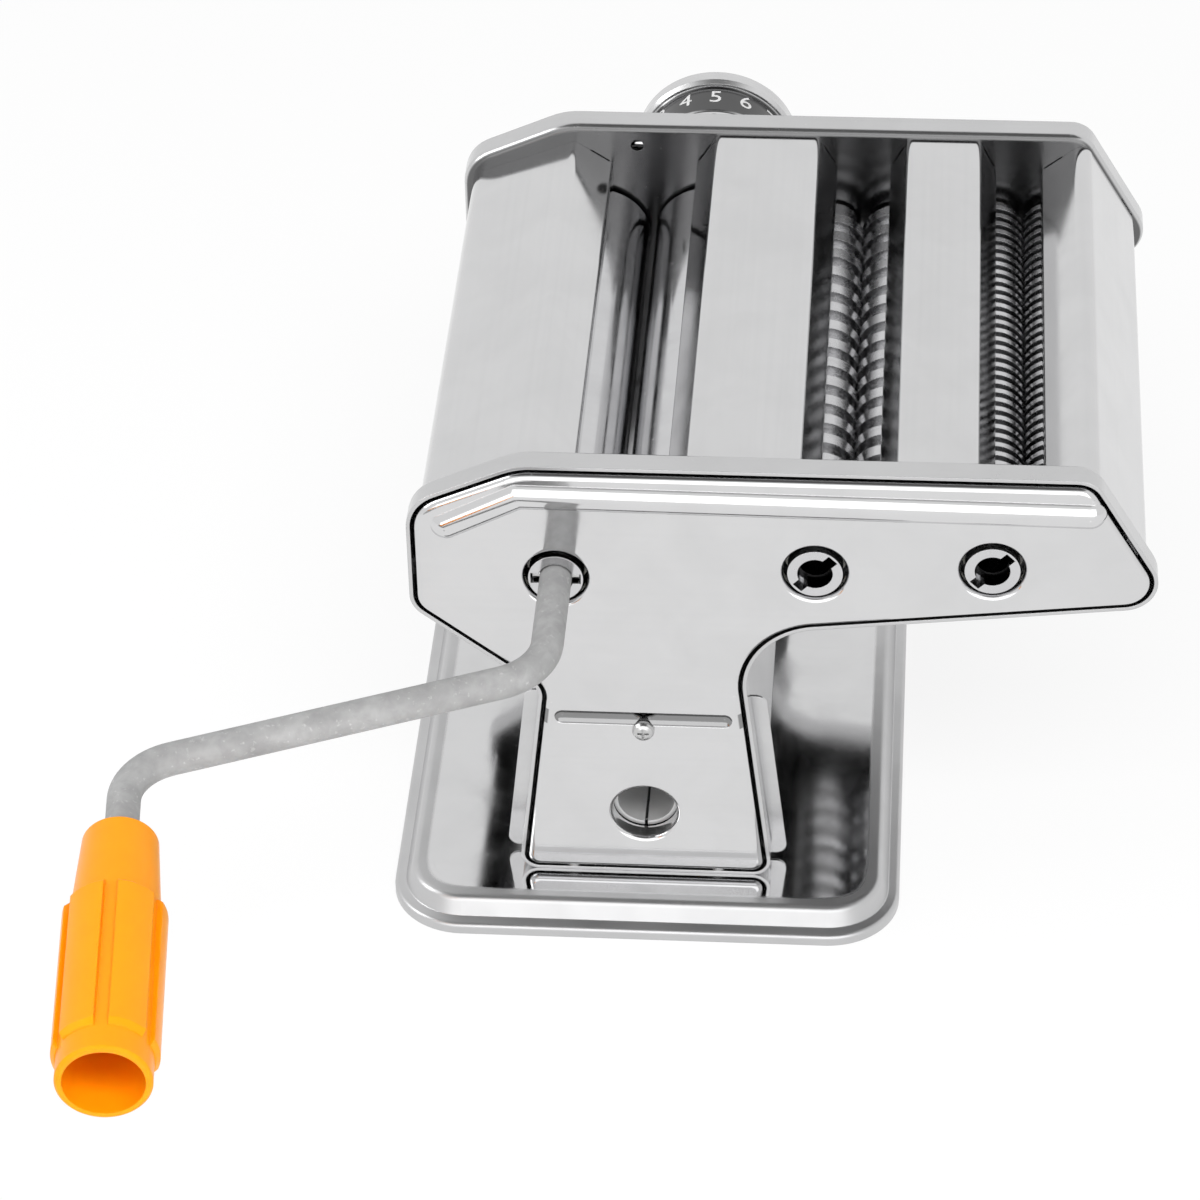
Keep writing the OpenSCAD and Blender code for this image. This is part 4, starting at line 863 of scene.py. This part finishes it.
class PASTA_OT_dial(bpy.types.Operator):
    """Polish the dial and its housing, and set the numerals round its band"""
    bl_idname = "pasta.dial"
    bl_label = "Thickness Dial"

    def execute(self, context):
        look, marks = context.scene.pasta_sheet, context.scene.pasta_dial
        low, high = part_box("dial_knob")
        finish_nodes(DIAL_SHEETS, self.spun(look, low.y, low.y + marks.rim_place, marks.band_dark_reflection_share))
        filling = unplated("Etched Numerals", NUMERALS, roughness=0.5, speck_blur=0.1, cloud=0.002,
                           speck=0.0003)
        numerals = built("dial_numerals", make_numeral_tree(filling), {
            "Numerals": marks.count, "Number At Top": marks.top_number, "Step": marks.step,
            "Numeral Height": marks.height, "Band Radius": marks.band_radius, "Raised": marks.raised,
            "Band Centre": ((low.x + high.x) / 2, low.y + marks.band_place, (low.z + high.z) / 2)})
        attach(numerals, "dial")
        return {"FINISHED"}

    def spun(self, look, inner_edge, rim_start, band_dark_reflection_share):
        """Spun steel: a bright housing, a dial band with a painted dark reflection, and a satin rim beyond
        rim_start.
        """
        made = metal("Spun Dial", look.colour, look.roughness, DIAL_LINES, depth=5e-7, cloud=0.01)
        tree, place = place_of(made)
        shader = shader_of(made)
        rim = reached(tree, place[1], rim_start, DIAL_RIM)
        band = reached(tree, place[1], inner_edge, DIAL_BAND)
        # The band under the numerals gets a painted dark reflection.
        darkened(made, maths(tree, "MULTIPLY", band, maths(tree, "SUBTRACT", 1.0, rim)), band_dark_reflection_share)
        blur = shader.inputs["Roughness"].links[0].from_socket
        satin = maths(tree, "MULTIPLY_ADD", rim, look.satin_roughness - look.roughness, blur)
        feed(tree, shader, {"Roughness": satin})
        return made


# ---- Studio ----

def softbox(name, place, target, size, watts, mirrored):
    """A flat lamp at place that faces target."""
    lamp = bpy.data.lights.new(name, "AREA")
    lamp.shape = "RECTANGLE"
    lamp.size, lamp.size_y = size
    lamp.energy = watts
    made = bpy.data.objects.new(name, lamp)
    made.location = place
    made.rotation_euler = (Vector(target) - Vector(place)).to_track_quat("-Z", "Y").to_euler()
    made.visible_glossy = mirrored
    bpy.context.scene.collection.objects.link(made)


def seen_directly(tree):
    """1 where the camera or a mirror looks straight at the surface, and 0 for its light on things."""
    rays = tree.nodes.new("ShaderNodeLightPath")
    pair = maths(tree, "MAXIMUM", rays.outputs["Is Camera Ray"], rays.outputs["Is Glossy Ray"])
    return maths(tree, "MAXIMUM", pair, rays.outputs["Is Transmission Ray"])


class PASTA_OT_studio(bpy.types.Operator):
    """Set the pale floor, the room light, the softboxes and the camera"""
    bl_idname = "pasta.studio"
    bl_label = "Studio And Camera"

    def execute(self, context):
        stage = context.scene.pasta_studio
        context.scene.view_settings.view_transform = "Standard"
        self.floor(stage.floor_glow)
        self.room(context.scene, stage)
        for name, place, target, size, power, mirrored in SOFTBOXES:
            softbox(name, place, target, size, getattr(stage, power), mirrored)
        self.camera(context.scene, stage)
        return {"FINISHED"}

    def floor(self, glow_part):
        """A wide floor that looks white and still takes soft shadows."""
        mesh = bpy.data.meshes.new("studio_floor")
        corners = ((-1, -1), (1, -1), (1, 1), (-1, 1))
        points = [(x * FLOOR_HALF, y * FLOOR_HALF, FLOOR_LEVEL) for x, y in corners]
        mesh.from_pydata(points, [], [(0, 1, 2, 3)])
        ground = bpy.data.objects.new("studio_floor", mesh)
        bpy.context.scene.collection.objects.link(ground)
        paint = bpy.data.materials.new("White Floor")
        paint.use_nodes = True
        tree = paint.node_tree
        tree.nodes.clear()
        dull = node(tree, "ShaderNodeBsdfDiffuse", {"Color": (0.93, 0.93, 0.93, 1.0)})
        glow = node(tree, "ShaderNodeEmission", {"Color": (1.0, 1.0, 1.0, 1.0), "Strength": 1.0})
        part = maths(tree, "MULTIPLY", seen_directly(tree), glow_part)
        both = node(tree, "ShaderNodeMixShader", {0: part, 1: dull.outputs[0], 2: glow.outputs[0]})
        node(tree, "ShaderNodeOutputMaterial", {0: both.outputs[0]})
        mesh.materials.append(paint)

    def room(self, scene, stage):
        """An even light from all round, seen as a white room with a dark ceiling."""
        world = bpy.data.worlds.new("White Room")
        world.use_nodes = True
        tree = world.node_tree
        tree.nodes.clear()
        direction = tree.nodes.new("ShaderNodeTexCoord").outputs["Generated"]
        _, y, z = node(tree, "ShaderNodeSeparateXYZ", {0: direction}).outputs
        ceiling = node(tree, "ShaderNodeMix", {
            0: spread(tree, y, -0.1, 0.1), 2: spread(tree, z, *CEILING_BEFORE),
            3: spread(tree, z, *CEILING_BEHIND)}).outputs[0]
        seen = maths(tree, "MULTIPLY_ADD", ceiling, stage.ceiling_level - stage.sky_level, stage.sky_level)
        beyond = maths(tree, "SUBTRACT", seen, stage.room_light)
        beyond = maths(tree, "MULTIPLY", beyond, seen_directly(tree))
        back = node(tree, "ShaderNodeBackground", {
            "Color": (1.0, 1.0, 1.0, 1.0), "Strength": maths(tree, "ADD", beyond, stage.room_light)})
        node(tree, "ShaderNodeOutputWorld", {0: back.outputs[0]})
        scene.world = world

    def camera(self, scene, stage):
        """The camera, turned by yaw, pitch and roll from looking straight back."""
        yaw, pitch, roll = stage.yaw, stage.pitch, stage.roll
        right = Vector((math.cos(yaw), math.sin(yaw), 0.0))
        ahead = Vector((-math.sin(yaw) * math.cos(pitch), math.cos(yaw) * math.cos(pitch), math.sin(pitch)))
        up = right.cross(ahead)
        side = math.cos(roll) * right + math.sin(roll) * up
        top = math.cos(roll) * up - math.sin(roll) * right
        lens = bpy.data.cameras.new("Camera")
        lens.lens = stage.lens
        lens.sensor_width = 36.0
        lens.clip_start, lens.clip_end = 0.05, 30.0
        made = bpy.data.objects.new("Camera", lens)
        turn = Matrix((side, top, -ahead)).transposed()
        made.matrix_world = Matrix.Translation(Vector(stage.camera_place)) @ turn.to_4x4()
        scene.collection.objects.link(made)
        scene.camera = made


class PASTA_PT_machine(bpy.types.Panel):
    """Pasta machine finishes"""
    bl_label = "Pasta Machine"
    bl_idname = "PASTA_PT_machine"
    bl_space_type = "VIEW_3D"
    bl_region_type = "UI"
    bl_category = "Pasta Machine"

    def draw(self, context):
        for settings in SETTINGS:
            box = self.layout.box()
            group = getattr(context.scene, settings)
            for key in group.bl_rna.properties.keys():
                if key not in ("rna_type", "name"):
                    box.prop(group, key)
        for step in STEPS:
            self.layout.operator(step.bl_idname)


SETTINGS = {
    "pasta_sheet": SheetFinish,
    "pasta_roller": RollerFinish,
    "pasta_crank": CrankFinish,
    "pasta_dial": DialMarks,
    "pasta_spring": SpringShape,
    "pasta_studio": StudioSettings,
}
STEPS = [PASTA_OT_surface_effects, PASTA_OT_sheets, PASTA_OT_rollers, PASTA_OT_fittings, PASTA_OT_feet,
         PASTA_OT_crank, PASTA_OT_grip, PASTA_OT_dial, PASTA_OT_dial_spring, PASTA_OT_studio]


def register():
    for made in [*SETTINGS.values(), *STEPS, PASTA_PT_machine]:
        bpy.utils.register_class(made)
    for key, made in SETTINGS.items():
        setattr(bpy.types.Scene, key, PointerProperty(type=made))


def unregister():
    for key in SETTINGS:
        delattr(bpy.types.Scene, key)
    for made in reversed([*SETTINGS.values(), *STEPS, PASTA_PT_machine]):
        bpy.utils.unregister_class(made)


def main():
    register()
    bpy.ops.pasta.surface_effects()
    bpy.ops.pasta.sheets()
    bpy.ops.pasta.rollers()
    bpy.ops.pasta.fittings()
    bpy.ops.pasta.feet()
    bpy.ops.pasta.crank()
    bpy.ops.pasta.grip()
    bpy.ops.pasta.dial()
    bpy.ops.pasta.dial_spring()
    bpy.ops.pasta.studio()


if __name__ == "__main__":
    main()
